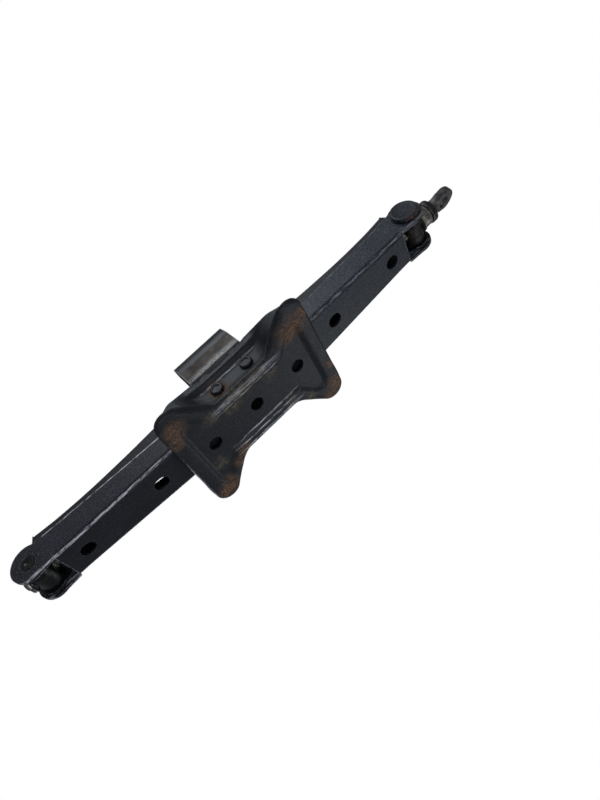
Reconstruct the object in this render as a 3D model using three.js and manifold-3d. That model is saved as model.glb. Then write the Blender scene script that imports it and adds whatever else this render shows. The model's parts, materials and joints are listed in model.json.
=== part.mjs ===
// Scissor car jack, stowed (fully lowered). Millimetres, +Z up, X along the lead screw, base on Z = 0.
import * as THREE from 'three';
import { mergeVertices } from 'three/addons/utils/BufferGeometryUtils.js';
import Module from 'manifold-3d';

const wasm = await Module();
wasm.setup();

// ---- driving dimensions ----
const PIVOT_X = 15;            // base and saddle pivots sit at +-PIVOT_X
const END_X = 200;             // end trunnions at rest
const BASE_PIVOT_Z = 20;
const SCREW_Z = 28.5;          // lead screw axis and end trunnions at rest
const SADDLE_PIVOT_Z = 2 * SCREW_Z - BASE_PIVOT_Z;
const GAP = 0.3;               // running clearance between neighbouring pieces

const ARM_SHEET = 2.5;
const WIDE = 66;               // inboard of this the arm flanges are parallel and at their widest
const NARROW = 170;            // outboard of this they are parallel again and at their narrowest
const LOWER = { wide: 19.9, narrow: 16.8, webStart: 30, webEnd: 182.4, bend: 4.2, ear: 15.2 };
const UPPER = { wide: 17.0, narrow: 14.0, webStart: 30, webEnd: 189, bend: 4.0, ear: 13 };
const LOWER_WEB_DROP = 13.3;   // web of a lower arm below its pivot line
const HUB = 11.8;              // plain part of the arm end around its inner pivot
const WEB_HOLES = [93, 163.5];

const TEETH = 20;              // teeth a full wheel would carry; pitch radius equals PIVOT_X
const TOOTH_ADDENDUM = 1.15;
const TOOTH_DEDENDUM = 1.55;
const TOOTH_BACKLASH = 0.45;
const PRESSURE = 20 * Math.PI / 180;

const BASE_SHEET = 2.0;
const SADDLE_HALF = 25.8;
const SADDLE_SHEET = 2.5;
const SADDLE_OUT = 22.8;       // outer face of the saddle side walls
const SADDLE_TOP = 80;
const SADDLE_BOTTOM = 30.4;
const CREST = { y: 13.6, radius: 5.8, from: 12, to: 168, steps: 7 };   // the middle facet is level

const BASE_RIVET = { shank: 4.0, head: 5.6, headY: [23.0, 25.3], endY: 17.45 };
const SADDLE_RIVET = { shank: 3.5, head: 4.8, headY: [23.1, 24.7], innerHead: 5.0 };
const TRUNNION = { body: 10.8, half: 11.2, journal: 6.0, end: 17.7, flat: 9.5 };
const SCREW = { radius: 6.0, bore: 6.35, tip: -215.5, shoulder: 226 };
const COLLAR = { x: 220.2, length: 5.6, radius: 10.2, pin: 1.5 };
// forged eye: round neck flattening into a rounded tab with a cross hole, turned a little about the screw
const EYE = {
  start: SCREW.shoulder + GAP, hole: 239.6, holeRadius: 5.6, tip: 251.8, round: 10.2, thick: 7.6, turn: 18,
};
const MIDDLE_X = (EYE.tip + SCREW.tip) / 2;   // middle of the whole jack; the base sits off it, to the left

// ---- materials ----
const metal = (color, roughness, metalness) => () => (
  new THREE.MeshStandardMaterial({ color, roughness, metalness }));
const blackPaint = metal(0x2b2c30, 0.45, 0.3);
const armPaint = metal(0x303136, 0.5, 0.35);
const wornSteel = metal(0x7d7872, 0.5, 0.8);
const bushSteel = metal(0x8f887c, 0.45, 0.85);
const oiledSteel = metal(0x4a4743, 0.4, 0.85);
const blackSteel = metal(0x1f2023, 0.5, 0.6);

// ---- solid helpers ----
function solidOf(geometry) {
  geometry.deleteAttribute('normal');
  geometry.deleteAttribute('uv');
  const g = mergeVertices(geometry, 1e-4);
  return new wasm.Manifold(new wasm.Mesh({
    numProp: 3,
    vertProperties: new Float32Array(g.attributes.position.array),
    triVerts: new Uint32Array(g.index.array),
  }));
}

function meshOf(name, solid, material) {
  const m = solid.getMesh();
  const g = new THREE.BufferGeometry();
  g.setAttribute('position', new THREE.BufferAttribute(new Float32Array(m.vertProperties), 3));
  g.setIndex(new THREE.BufferAttribute(new Uint32Array(m.triVerts), 1));
  g.computeVertexNormals();
  const mesh = new THREE.Mesh(g, material);
  mesh.name = name;
  return mesh;
}

const shapeOf = (points) => new THREE.Shape(points.map(([a, b]) => new THREE.Vector2(a, b)));
const slab = (points, depth) => new THREE.ExtrudeGeometry(shapeOf(points), { depth, bevelEnabled: false });

// outline in (x, z), swept from y0 to y1
function alongY(points, y0, y1) {
  const g = slab(points, y1 - y0);
  g.rotateX(Math.PI / 2);
  g.translate(0, y1, 0);
  return solidOf(g);
}

// outline in (x, y), swept from z0 to z1
function alongZ(points, z0, z1) {
  const g = slab(points, z1 - z0);
  g.translate(0, 0, z0);
  return solidOf(g);
}

// outline in (y, z), swept from x0 to x1
function alongX(points, x0, x1) {
  const g = slab(points, x1 - x0);
  const toX = new THREE.Matrix4().makeBasis(
    new THREE.Vector3(0, 1, 0), new THREE.Vector3(0, 0, 1), new THREE.Vector3(1, 0, 0));
  g.applyMatrix4(toX);
  g.translate(x0, 0, 0);
  return solidOf(g);
}

const box = (x0, x1, y0, y1, z0, z1) => alongZ([[x0, y0], [x1, y0], [x1, y1], [x0, y1]], z0, z1);

function arc(cx, cy, r, from, to, steps) {
  const pts = [];
  for (let i = 0; i <= steps; i++) {
    const a = (from + (to - from) * i / steps) * Math.PI / 180;
    pts.push([cx + r * Math.cos(a), cy + r * Math.sin(a)]);
  }
  return pts;
}

const circle = (cx, cy, r, steps) => arc(cx, cy, r, 0, 360 - 360 / steps, steps - 1);

// turned piece: profile as [radius, height] pairs on the local +Z axis, closed on the axis or on itself
function turned(profile, segments) {
  const g = new THREE.LatheGeometry(profile.map(([r, h]) => new THREE.Vector2(r, h)), segments);
  g.rotateX(Math.PI / 2);
  return solidOf(g);
}

const layOnY = (solid) => solid.rotate([-90, 0, 0]);
const layOnX = (solid) => solid.rotate([0, 90, 0]);
const mirrorX = (solid) => solid.mirror([1, 0, 0]);
const mirrorY = (solid) => solid.mirror([0, 1, 0]);

// stack of equal-length outlines given as [x, [[y, z], ...]]
function loftX(sections) {
  const n = sections[0][1].length;
  const pos = [];
  const idx = [];
  sections.forEach(([x, ring]) => ring.forEach(([y, z]) => pos.push(x, y, z)));
  for (let k = 0; k + 1 < sections.length; k++) {
    for (let i = 0; i < n; i++) {
      const j = (i + 1) % n;
      const a = k * n + i, b = k * n + j, c = (k + 1) * n + j, d = (k + 1) * n + i;
      idx.push(a, c, b, a, d, c);
    }
  }
  const flat = sections[0][1].map(([y, z]) => new THREE.Vector2(y, z));
  const turn = THREE.ShapeUtils.isClockWise(flat);
  const last = (sections.length - 1) * n;
  THREE.ShapeUtils.triangulateShape(turn ? flat.slice().reverse() : flat, []).forEach((tri) => {
    const [a, b, c] = turn ? tri.map((i) => n - 1 - i).reverse() : tri;
    idx.push(a, b, c, last + a, last + c, last + b);
  });
  const g = new THREE.BufferGeometry();
  g.setAttribute('position', new THREE.BufferAttribute(new Float32Array(pos), 3));
  g.setIndex(flipIfInsideOut(pos, idx));
  return solidOf(g);
}

function flipIfInsideOut(pos, idx) {
  let six = 0;
  const v = (i) => new THREE.Vector3(pos[3 * i], pos[3 * i + 1], pos[3 * i + 2]);
  for (let t = 0; t < idx.length; t += 3) six += v(idx[t]).dot(v(idx[t + 1]).cross(v(idx[t + 2])));
  if (six < 0) for (let t = 0; t < idx.length; t += 3) [idx[t], idx[t + 1]] = [idx[t + 1], idx[t]];
  return idx;
}

// ---- arms ----
const lowerLine = (a) => BASE_PIVOT_Z + (SCREW_Z - BASE_PIVOT_Z) * (a - PIVOT_X) / (END_X - PIVOT_X);
const upperLine = (a) => 2 * SCREW_Z - lowerLine(a);
const lowerWeb = (a) => lowerLine(a) - LOWER_WEB_DROP;
const UPPER_WEB_RISE = [[30, 10.5], [75, 11.5], [100, 12.2], [136, 14.5], [165, 18], [189, 22]];

function upperWeb(a) {
  const t = UPPER_WEB_RISE;
  let i = 0;
  while (i < t.length - 2 && a > t[i + 1][0]) i++;
  const [[a0, h0], [a1, h1]] = [t[i], t[i + 1]];
  return upperLine(a) + h0 + (h1 - h0) * (a - a0) / (a1 - a0);
}

function halfWidth(arm, a) {
  const t = Math.min(1, Math.max(0, (a - WIDE) / (NARROW - WIDE)));
  return arm.wide + (arm.narrow - arm.wide) * t;
}

// involute teeth around an arm end: angles count from -X, upwards when turn = 1, downwards when turn = -1
function toothedEnd(cz, turn, firstTooth, count) {
  const pitch = PIVOT_X, root = pitch - TOOTH_DEDENDUM, tip = pitch + TOOTH_ADDENDUM;
  const baseR = pitch * Math.cos(PRESSURE);
  const inv = (r) => { const c = Math.acos(Math.min(1, baseR / r)); return Math.tan(c) - c; };
  const halfPitch = Math.PI / TEETH / 2 - TOOTH_BACKLASH / 2 / pitch;
  const flank = [root, baseR + 0.05, pitch + 0.1, tip];
  const halfAt = (r) => halfPitch + inv(pitch) - inv(Math.max(r, baseR));
  const pts = [];
  const put = (r, phi) => pts.push([PIVOT_X - r * Math.cos(phi), cz + turn * r * Math.sin(phi)]);
  const step = 2 * Math.PI / TEETH;
  for (let k = 0; k < count; k++) {
    const mid = firstTooth * Math.PI / 180 + k * step;
    if (k === 0) put(root, mid - step / 2);
    flank.forEach((r) => put(r, mid - halfAt(r)));
    flank.slice().reverse().forEach((r) => put(r, mid + halfAt(r)));
    put(root, mid + step / 2);
  }
  return pts;
}

function lowerProfile(firstTooth, count) {
  const teeth = toothedEnd(BASE_PIVOT_Z, 1, firstTooth, count);
  return [
    ...arc(PIVOT_X, BASE_PIVOT_Z, HUB, 225, 270, 4),
    [LOWER.webStart, lowerWeb(LOWER.webStart)],
    [LOWER.webEnd, lowerWeb(LOWER.webEnd)],
    ...arc(END_X, SCREW_Z, LOWER.ear, -104, 122, 14),
    [184, lowerLine(184) + 12.8],
    [60, lowerLine(60) + 6.0],
    [38, 29.8], [26, 31.0],
    ...arc(PIVOT_X, BASE_PIVOT_Z, HUB, 66, 90, 3),
    ...teeth.reverse(),
  ];
}

// free edge of an upper arm's flanges: high beside the saddle, deeper from the middle of the arm outwards
const UPPER_FLANGE_EDGE = [[32, 29.2], [40, 32.4], [45, 33.2], [95, 32.6], [100, 31.4], [110, 27.6],
  [172, 21.3]];

function upperProfile(firstTooth, count) {
  const teeth = toothedEnd(SADDLE_PIVOT_Z, -1, firstTooth, count);
  return [
    ...teeth,
    ...arc(PIVOT_X, SADDLE_PIVOT_Z, HUB, 270, 300, 3),
    ...UPPER_FLANGE_EDGE,
    ...arc(END_X, SCREW_Z, UPPER.ear, -120, 118, 12),
    ...UPPER_WEB_RISE.slice().reverse().map(([a]) => [a, upperWeb(a)]),
    ...arc(PIVOT_X, SADDLE_PIVOT_Z, HUB, 80, 150, 5),
  ];
}

const FAR = 90;   // beyond every outline, for cutting blocks

// channel section at one station: side = +1 web below and open above, -1 the other way up
function channelRing(half, webZ, radius, side) {
  const corner = (sign) => (i) => {
    const a = i / 3 * Math.PI / 2;
    const y = half - radius + radius * Math.sin(a);
    const z = webZ + side * (radius - radius * Math.cos(a));
    return [sign * y, z];
  };
  const steps = [0, 1, 2, 3];
  const right = steps.map(corner(1));
  const left = steps.map(corner(-1)).reverse();
  return [...left, ...right, [half, side * FAR], [-half, side * FAR]];
}

function channelCut(arm, web, side, inset) {
  const at = (a) => [a, channelRing(halfWidth(arm, a) - inset, web(a) + side * inset,
    Math.max(1.2, arm.bend - inset), side)];
  const stations = [arm.webStart - 1, WIDE, 100, 136, NARROW, arm.webEnd + 1];
  if (side < 0) stations.splice(4, 0, 165);
  return loftX(stations.sort((p, q) => p - q).map(at))
    .add(box(-5, arm.webStart, inset - arm.wide, arm.wide - inset, -FAR, FAR))
    .add(box(arm.webEnd, END_X + 20, inset - arm.narrow, arm.narrow - inset, -FAR, FAR));
}

function pierceY(x, z, r, steps = 20) {
  return alongY(circle(x, z, r, steps), -FAR / 2, FAR / 2);
}

// straight-sided hole with round ends, through the web
function slotZ(x, length, width) {
  const e = (length - width) / 2;
  return alongZ([...arc(x + e, 0, width / 2, -90, 90, 7), ...arc(x - e, 0, width / 2, 90, 270, 7)], 2, 24);
}

function lowerArm(name, side, firstTooth) {
  let s = alongY(lowerProfile(firstTooth, 5), -LOWER.wide, LOWER.wide)
    .intersect(channelCut(LOWER, lowerWeb, 1, 0))
    .subtract(channelCut(LOWER, lowerWeb, 1, ARM_SHEET))
    .subtract(pierceY(PIVOT_X, BASE_PIVOT_Z, BASE_RIVET.shank + GAP))
    .subtract(pierceY(END_X, SCREW_Z, TRUNNION.journal + GAP));
  WEB_HOLES.forEach((a) => { s = s.subtract(slotZ(a, 13, 11)); });
  return meshOf(name, side < 0 ? mirrorX(s) : s, armPaint());
}

function upperArm(name, side, firstTooth) {
  const s = alongY(upperProfile(firstTooth, 5), -UPPER.wide, UPPER.wide)
    .intersect(channelCut(UPPER, upperWeb, -1, 0))
    .subtract(channelCut(UPPER, upperWeb, -1, ARM_SHEET))
    .subtract(pierceY(PIVOT_X, SADDLE_PIVOT_Z, SADDLE_RIVET.shank + GAP))
    .subtract(pierceY(END_X, SCREW_Z, TRUNNION.journal + GAP));
  return meshOf(name, side < 0 ? mirrorX(s) : s, armPaint());
}

// ---- base ----
// one quarter, from the middle of the long side to the middle of the end: [rim x, rim y, top x, top y, top z]
const BASE_QUARTER = [
  [0, 30, 0, 27.8, 33.6], [12, 30, 12, 27.8, 34.2], [20, 30, 20, 27.8, 35.8], [26, 30.4, 27, 27.9, 38],
  [31, 34.4, 35, 29.2, 37.4], [39, 42.6, 43, 34, 32.6], [47, 50.6, 50.5, 41, 25],
  [52.5, 55.6, 56, 46.6, 16.2], [59, 57.4, 61.5, 50.2, 9.6], [65.6, 55.6, 66.4, 50.2, 6.6],
  [70, 50.4, 69.6, 46.8, 5.4], [71, 43, 70.6, 42, 5], [71, 22, 70.6, 22, 4.6], [71, 0, 70.6, 0, 4.6],
];
// the raised panel at the same stations: its edge and the inner edge of the flat rim, [x, y, rim x, rim y]
const PANEL_QUARTER = [
  [0, 16, 0, 21], [12, 16, 12, 21], [21, 16, 20.5, 21], [29, 16.3, 27, 21.2], [35.5, 17.6, 32.6, 22.4],
  [39.5, 21.2, 36.4, 25.6], [44.5, 27.6, 41.4, 32], [48.8, 32.8, 45.8, 37.2], [52.2, 34.7, 51.4, 39.6],
  [54.8, 33.6, 57.2, 38.4], [55.9, 31, 60.2, 34], [56, 27, 60.8, 28.6], [56, 15, 60.8, 16], [56, 0, 60.8, 0],
];
const PANEL_RISE = 2.2;
const PANEL_HOLES = [-43.6, 0, 43.6];
const PANEL_HOLE_RADIUS = 5.8;
const RIM_BEND = 3.4, CORNER_BEND = 4.6;   // the rim's fold is softer at the corners of the waist
const WAIST_WALL = [[25.6, 7], [22.7, 12.5], [22.7, 26.8], [27.8, 30.6]];
const WALL_SHARE = [0.18, 0.36, 0.7, 0.84];

// direction pointing away from the middle of the base, square to the rim outline at station i
function rimOutward(loop, i) {
  const n = loop.length;
  const p = loop[(i + n - 1) % n], q = loop[(i + 1) % n];
  const d = new THREE.Vector2(q[0] - p[0], q[1] - p[1]).normalize();
  return new THREE.Vector2(d.y, -d.x);
}

// a quarter table mirrored round the whole base, counter-clockwise from the middle of the +X end
function baseLoop(quarter) {
  const flip = (sx, sy) => (row) => row.map((v, c) => (c === 4 ? v : v * (c % 2 ? sy : sx)));
  const right = quarter.slice().reverse();
  const farLeft = quarter.slice(1).map(flip(-1, 1));
  const nearLeft = quarter.slice(0, -1).reverse().map(flip(-1, -1));
  const nearRight = quarter.slice(1, -1).map(flip(1, -1));
  return [...right, ...farLeft, ...nearLeft, ...nearRight];
}

const smooth = (t) => { const u = Math.min(1, Math.max(0, t)); return u * u * (3 - 2 * u); };

const rimBend = (x) => RIM_BEND
  + CORNER_BEND * smooth((Math.abs(x) - 24) / 9) * (1 - smooth((Math.abs(x) - 40) / 16));

// outer (underside and outside) surface of the pressing, one row of points per station of the loop
function basePoints() {
  const loop = baseLoop(BASE_QUARTER), panel = baseLoop(PANEL_QUARTER);
  return loop.map((s, i) => {
    const [rx, ry, tx, ty, tz] = s;
    const [px, py, qx, qy] = panel[i];
    const out = rimOutward(loop, i);
    const inset = (d, z) => [rx - out.x * d, ry - out.y * d, z];
    const bend = rimBend(rx), mid = bend * (1 - Math.SQRT1_2);
    const row = [[px, py, PANEL_RISE], [qx, qy, 0], inset(bend, 0), inset(mid, mid)];
    const k = 1 - smooth((Math.abs(rx) - 22) / 24);
    WAIST_WALL.forEach(([wy, wz], j) => {
      const f = WALL_SHARE[j];
      const straight = [rx + (tx - rx) * f, ry + (ty - ry) * f, bend + (tz - bend) * f];
      const waist = [rx + (tx - rx) * f, Math.sign(ry || 1) * wy, wz];
      row.push(straight.map((v, c) => v + (waist[c] - v) * (ry === 0 ? 0 : k)));
    });
    row.push([tx, ty, tz]);
    return row;
  });
}

// closed sheet from a grid of points: every row starts at the flat panel and ends at the free edge
function sheetSolid(rows, sheet) {
  const n = rows.length, m = rows[0].length;
  const V = rows.map((r) => r.map((p) => new THREE.Vector3(...p)));
  const normal = (i, j) => {
    const a = V[(i + 1) % n][j].clone().sub(V[(i + n - 1) % n][j]);
    const b = V[i][Math.min(m - 1, j + 1)].clone().sub(V[i][Math.max(0, j - 1)]);
    return a.cross(b).normalize();
  };
  const pos = [];
  const push = (v) => { pos.push(v.x, v.y, v.z); return pos.length / 3 - 1; };
  const outer = V.map((r) => r.map(push));
  const sign = normal(0, 0).z < 0 ? -1 : 1;
  const thicken = (v, i, j) => v.clone().addScaledVector(normal(i, j), sign * sheet);
  const inner = V.map((r, i) => r.map((v, j) => push(thicken(v, i, j))));
  const idx = [];
  const quad = (a, b, c, d) => idx.push(a, b, c, a, c, d);
  for (let i = 0; i < n; i++) {
    const k = (i + 1) % n;
    for (let j = 0; j + 1 < m; j++) {
      quad(outer[i][j], outer[k][j], outer[k][j + 1], outer[i][j + 1]);
      quad(inner[i][j], inner[i][j + 1], inner[k][j + 1], inner[k][j]);
    }
    quad(outer[i][m - 1], outer[k][m - 1], inner[k][m - 1], inner[i][m - 1]);
  }
  const panel = V.map((r) => new THREE.Vector2(r[0].x, r[0].y));
  THREE.ShapeUtils.triangulateShape(panel, []).forEach(([a, b, c]) => {
    idx.push(outer[a][0], outer[c][0], outer[b][0], inner[a][0], inner[b][0], inner[c][0]);
  });
  const g = new THREE.BufferGeometry();
  g.setAttribute('position', new THREE.BufferAttribute(new Float32Array(pos), 3));
  g.setIndex(flipIfInsideOut(pos, idx));
  return solidOf(g);
}

function basePlate() {
  let s = sheetSolid(basePoints(), BASE_SHEET);
  PANEL_HOLES.forEach((x) => { s = s.subtract(alongZ(circle(x, 0, PANEL_HOLE_RADIUS, 26), -5, 12)); });
  [-PIVOT_X, PIVOT_X].forEach((x) => {
    s = s.subtract(pierceY(x, BASE_PIVOT_Z, BASE_RIVET.shank + GAP));
  });
  return meshOf('base_plate', s, blackPaint());
}

// ---- saddle ----
// one half of the sheet's section: the inner face downwards first, then the outer face
function saddleHalf(side) {
  const t = SADDLE_SHEET, c = CREST;
  const halfFacet = (c.to - c.from) / c.steps / 2 * Math.PI / 180;
  const crestZ = SADDLE_TOP - c.radius * Math.cos(halfFacet);
  const wall = (inset) => [[SADDLE_OUT - inset, SADDLE_BOTTOM], [SADDLE_OUT - inset, 60],
    [SADDLE_OUT - inset - 0.35, 64], [SADDLE_OUT - inset - 1.3, 68.5]];
  const crest = (inset, steps) => arc(c.y, crestZ, c.radius - inset, c.from, c.to, steps);
  const outer = [...wall(0), ...crest(0, c.steps), [5.6, 67.2], [3.6, 63.6], [0, 63]];
  const inner = [...wall(t), ...crest(t, 4), [8.0, 66.4], [5.2, 61.4], [0, 60.5]];
  const ring = [...outer, ...inner.reverse()];
  return side > 0 ? ring : ring.map(([y, z]) => [-y, z]).reverse();
}

function saddle() {
  const half = (side) => alongX(saddleHalf(side), -SADDLE_HALF, SADDLE_HALF);
  let s = half(1).add(half(-1));
  [-PIVOT_X, PIVOT_X].forEach((x) => {
    s = s.subtract(pierceY(x, SADDLE_PIVOT_Z, SADDLE_RIVET.shank + GAP));
  });
  return meshOf('saddle', s, wornSteel());
}

// ---- rivets ----
function baseRivet(name, x, side) {
  const r = BASE_RIVET, [h0, h1] = r.headY;
  const s = layOnY(turned([[0, r.endY], [r.shank, r.endY], [r.shank, h0], [r.head, h0], [r.head, h1 - 0.8],
    [r.head - 0.9, h1], [0, h1]], 18)).translate([x, 0, BASE_PIVOT_Z]);
  return meshOf(name, side < 0 ? mirrorY(s) : s, blackSteel());
}

function saddleRivet(name, x, side) {
  const r = SADDLE_RIVET, [h0, h1] = r.headY;
  const bore = UPPER.wide - ARM_SHEET - GAP;
  const s = layOnY(turned([[0, bore - 1.6], [r.innerHead - 0.8, bore - 1.6], [r.innerHead, bore],
    [r.shank, bore], [r.shank, h0], [r.head, h0], [r.head - 0.6, h1], [0, h1]], 18))
    .translate([x, 0, SADDLE_PIVOT_Z]);
  return meshOf(name, side < 0 ? mirrorY(s) : s, blackSteel());
}

// ---- end trunnions ----
function trunnionSolid(nearEnd, farEnd) {
  const t = TRUNNION;
  const s = layOnY(turned([[0, -nearEnd], [t.journal - 0.8, -nearEnd], [t.journal, -nearEnd + 0.8],
    [t.journal, -t.half], [t.body, -t.half], [t.body, t.half], [t.journal, t.half],
    [t.journal, farEnd - 0.8], [t.journal - 0.8, farEnd], [0, farEnd]], 28));
  const bore = layOnX(turned([[0, -30], [SCREW.bore, -30], [SCREW.bore, 30], [0, 30]], 20));
  const outer = box(t.flat, 30, -30, 30, -30, 30);
  return s.subtract(bore).subtract(outer).translate([END_X, 0, SCREW_Z]);
}

function threadedTrunnion() {
  const dimple = layOnY(turned([[0, 0], [2.6, 2.2], [0, 2.2]], 20))
    .translate([END_X, TRUNNION.end - 1.2, SCREW_Z]);
  const s = trunnionSolid(TRUNNION.end, TRUNNION.end).subtract(dimple).subtract(mirrorY(dimple));
  return meshOf('threaded_trunnion', mirrorX(s), oiledSteel());
}

function bearingTrunnion() {
  return meshOf('bearing_trunnion', trunnionSolid(LOWER.narrow, TRUNNION.end), oiledSteel());
}

function trunnionHead() {
  const y = LOWER.narrow + GAP;
  const s = mirrorY(layOnY(turned([[0, y], [11.6, y], [12.4, y + 0.8], [12.4, y + 2.6], [11.4, y + 3.6],
    [0, y + 3.9]], 28)).translate([END_X, 0, SCREW_Z]));
  return meshOf('trunnion_head_disc', s, blackSteel());
}

// ---- screw train ----
const onScrew = (solid, x) => layOnX(solid).translate([x, 0, SCREW_Z]);
const ring = (inner, outer, length, edge) => turned([[inner, 0], [outer - edge, 0], [outer, edge],
  [outer, length], [inner, length], [inner, 0]], 24);

const pinBore = () => turned([[0, -FAR], [COLLAR.pin + GAP, -FAR], [COLLAR.pin + GAP, FAR], [0, FAR]], 16)
  .translate([COLLAR.x + COLLAR.length / 2, 0, SCREW_Z]);

function leadScrew() {
  const r = SCREW.radius, length = SCREW.shoulder - SCREW.tip;
  const s = onScrew(turned([[0, 0], [r - 1.4, 0], [r, 1.6], [r, length], [0, length]], 24), SCREW.tip)
    .subtract(pinBore());
  return meshOf('lead_screw', s, oiledSteel());
}

function screwRing(name, x, outer, length, edge, material) {
  return meshOf(name, onScrew(ring(SCREW.bore, outer, length, edge), x), material);
}

function screwCollar() {
  const s = onScrew(ring(SCREW.bore, COLLAR.radius, COLLAR.length, 0.8), COLLAR.x).subtract(pinBore());
  return meshOf('screw_collar', s, blackSteel());
}

function collarPin() {
  const h = COLLAR.radius - 0.3, r = COLLAR.pin;
  const s = turned([[0, -h], [r - 0.4, -h], [r, -h + 0.4], [r, h - 0.4], [r - 0.4, h], [0, h]], 16)
    .translate([COLLAR.x + COLLAR.length / 2, 0, SCREW_Z]);
  return meshOf('collar_pin', s, wornSteel());
}

function screwEye() {
  const tip = arc(EYE.tip - EYE.round, 0, EYE.round, -66, 66, 12);
  const outline = [[EYE.start, -6.6], [230, -6.9], [234, -8.6], ...tip, [234, 8.6], [230, 6.9],
    [EYE.start, 6.6]];
  const side = [[EYE.start, -6.6], [228.5, -6.6], [234, -EYE.thick / 2], [252, -EYE.thick / 2 + 0.6],
    [252, EYE.thick / 2 - 0.6], [234, EYE.thick / 2], [228.5, 6.6], [EYE.start, 6.6]];
  const neck = layOnX(turned([[0, -6], [7.2, -6], [7.2, 4], [11.5, 12], [11.5, 40], [0, 40]], 24))
    .translate([EYE.start, 0, 0]);
  const s = alongZ(outline, -8, 8).intersect(alongY(side, -12, 12)).intersect(neck)
    .subtract(alongZ(circle(EYE.hole, 0, EYE.holeRadius, 28), -9, 9))
    .rotate([EYE.turn, 0, 0]).translate([0, 0, SCREW_Z]);
  return meshOf('screw_eye', s, oiledSteel());
}

// ---- assembly ----
const jack = new THREE.Group();
jack.name = 'scissor_jack';
jack.position.x = -MIDDLE_X;
jack.add(
  basePlate(),
  baseRivet('base_rivet_near_left', -PIVOT_X, -1), baseRivet('base_rivet_near_right', PIVOT_X, -1),
  baseRivet('base_rivet_far_left', -PIVOT_X, 1), baseRivet('base_rivet_far_right', PIVOT_X, 1),
  lowerArm('lower_arm_left', -1, -18), lowerArm('lower_arm_right', 1, -9),
  upperArm('upper_arm_left', -1, -18), upperArm('upper_arm_right', 1, -9),
  saddle(),
  saddleRivet('saddle_rivet_near_left', -PIVOT_X, -1), saddleRivet('saddle_rivet_near_right', PIVOT_X, -1),
  saddleRivet('saddle_rivet_far_left', -PIVOT_X, 1), saddleRivet('saddle_rivet_far_right', PIVOT_X, 1),
  threadedTrunnion(), bearingTrunnion(), trunnionHead(),
  leadScrew(), screwEye(), screwCollar(), collarPin(),
  screwRing('thrust_washer', 209.8, 10.4, 1.4, 0.3, wornSteel()),
  screwRing('thrust_bush', 211.5, 9.2, 8.4, 0.6, bushSteel()),
  screwRing('screw_end_stop', -213.3, 8.4, 2.8, 0.5, wornSteel()),
);
export default jack;
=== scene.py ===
"""Scissor car jack: pressed, turned and forged pieces with their worn finishes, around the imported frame.

Shapes are written in millimetres with X measured from the middle of the base, and become metres in the row
frame when a piece is made.
"""
import contextlib
import json
import math

import bmesh
import bpy
from mathutils import Matrix, Vector


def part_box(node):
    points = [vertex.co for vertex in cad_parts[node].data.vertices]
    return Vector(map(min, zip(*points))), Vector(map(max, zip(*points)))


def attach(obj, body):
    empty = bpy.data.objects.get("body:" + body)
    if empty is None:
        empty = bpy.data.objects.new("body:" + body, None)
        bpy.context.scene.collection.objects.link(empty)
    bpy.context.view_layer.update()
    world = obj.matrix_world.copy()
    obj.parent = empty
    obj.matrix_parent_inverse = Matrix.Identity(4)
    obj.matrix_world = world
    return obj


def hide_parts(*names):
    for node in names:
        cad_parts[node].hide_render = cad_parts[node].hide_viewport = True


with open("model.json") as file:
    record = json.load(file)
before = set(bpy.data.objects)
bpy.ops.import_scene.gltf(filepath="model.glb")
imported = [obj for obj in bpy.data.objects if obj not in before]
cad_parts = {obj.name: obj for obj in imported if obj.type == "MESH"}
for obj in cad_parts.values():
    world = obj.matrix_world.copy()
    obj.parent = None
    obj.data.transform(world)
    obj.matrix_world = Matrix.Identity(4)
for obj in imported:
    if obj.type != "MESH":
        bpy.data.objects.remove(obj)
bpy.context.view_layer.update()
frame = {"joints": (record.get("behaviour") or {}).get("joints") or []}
scene = bpy.context.scene

# ---- dimensions taken from the frame ----
MM = 0.001
JOINTS = {joint["name"]: joint for joint in frame["joints"]}


def pivot(name):
    """A joint's place in millimetres, in the row frame."""
    return Vector(JOINTS[name]["pos_m"]) / MM


def size_of(node):
    """A CAD node's lowest and highest corner in millimetres, X from the middle of the base."""
    low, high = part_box(node)
    shift = Vector((BASE_X, 0, 0))
    return low / MM - shift, high / MM - shift


BASE_X = (pivot("lift").x + pivot("lower_right_pivot").x) / 2
PIVOT_X = pivot("lower_right_pivot").x - BASE_X
END_X = pivot("right_knee").x - BASE_X
BASE_PIVOT_Z = pivot("lift").z
SCREW_Z = pivot("left_knee").z
SADDLE_PIVOT_Z = pivot("saddle_pivot").z
SADDLE_HALF = size_of("saddle")[1].x
SADDLE_OUT = size_of("saddle")[1].y
SADDLE_BOTTOM, SADDLE_TOP = size_of("saddle")[0].z, size_of("saddle")[1].z
LOWER_WIDE = size_of("lower_arm_right")[1].y
UPPER_WIDE = size_of("upper_arm_right")[1].y
SCREW_TIP = size_of("lead_screw")[0].x
EYE_TIP = size_of("screw_eye")[1].x

# ---- sheet metal ----
ARM_SHEET = 2.5
BASE_SHEET = 2.0
SADDLE_SHEET = 2.5
GAP = 0.3
WIDE_END, NARROW_START, TAPER_EASE = 66.0, 170.0, 0.04
LOWER = {"wide": LOWER_WIDE, "narrow": LOWER_WIDE - 3.1, "start": 30.0, "end": 182.4, "bend": 4.2,
         "ear": 15.2}
UPPER = {"wide": UPPER_WIDE, "narrow": UPPER_WIDE - 3.0, "start": 30.0, "end": 189.0, "bend": 4.0,
         "ear": 13.0}
LOWER_WEB_DROP = 13.3
UPPER_WEB_RISE = [(30, 10.5), (75, 11.5), (100, 12.2), (136, 14.5), (165, 18), (189, 22)]
UPPER_FLANGE_EDGE = [(32, 29.2), (40, 32.4), (45, 33.2), (95, 32.6), (100, 31.4), (110, 27.6), (172, 21.3)]
HUB = 11.8            # radius of an arm's end round its pivot
WEB_HOLES = [93.0, 163.5]
TEETH = 20
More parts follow.
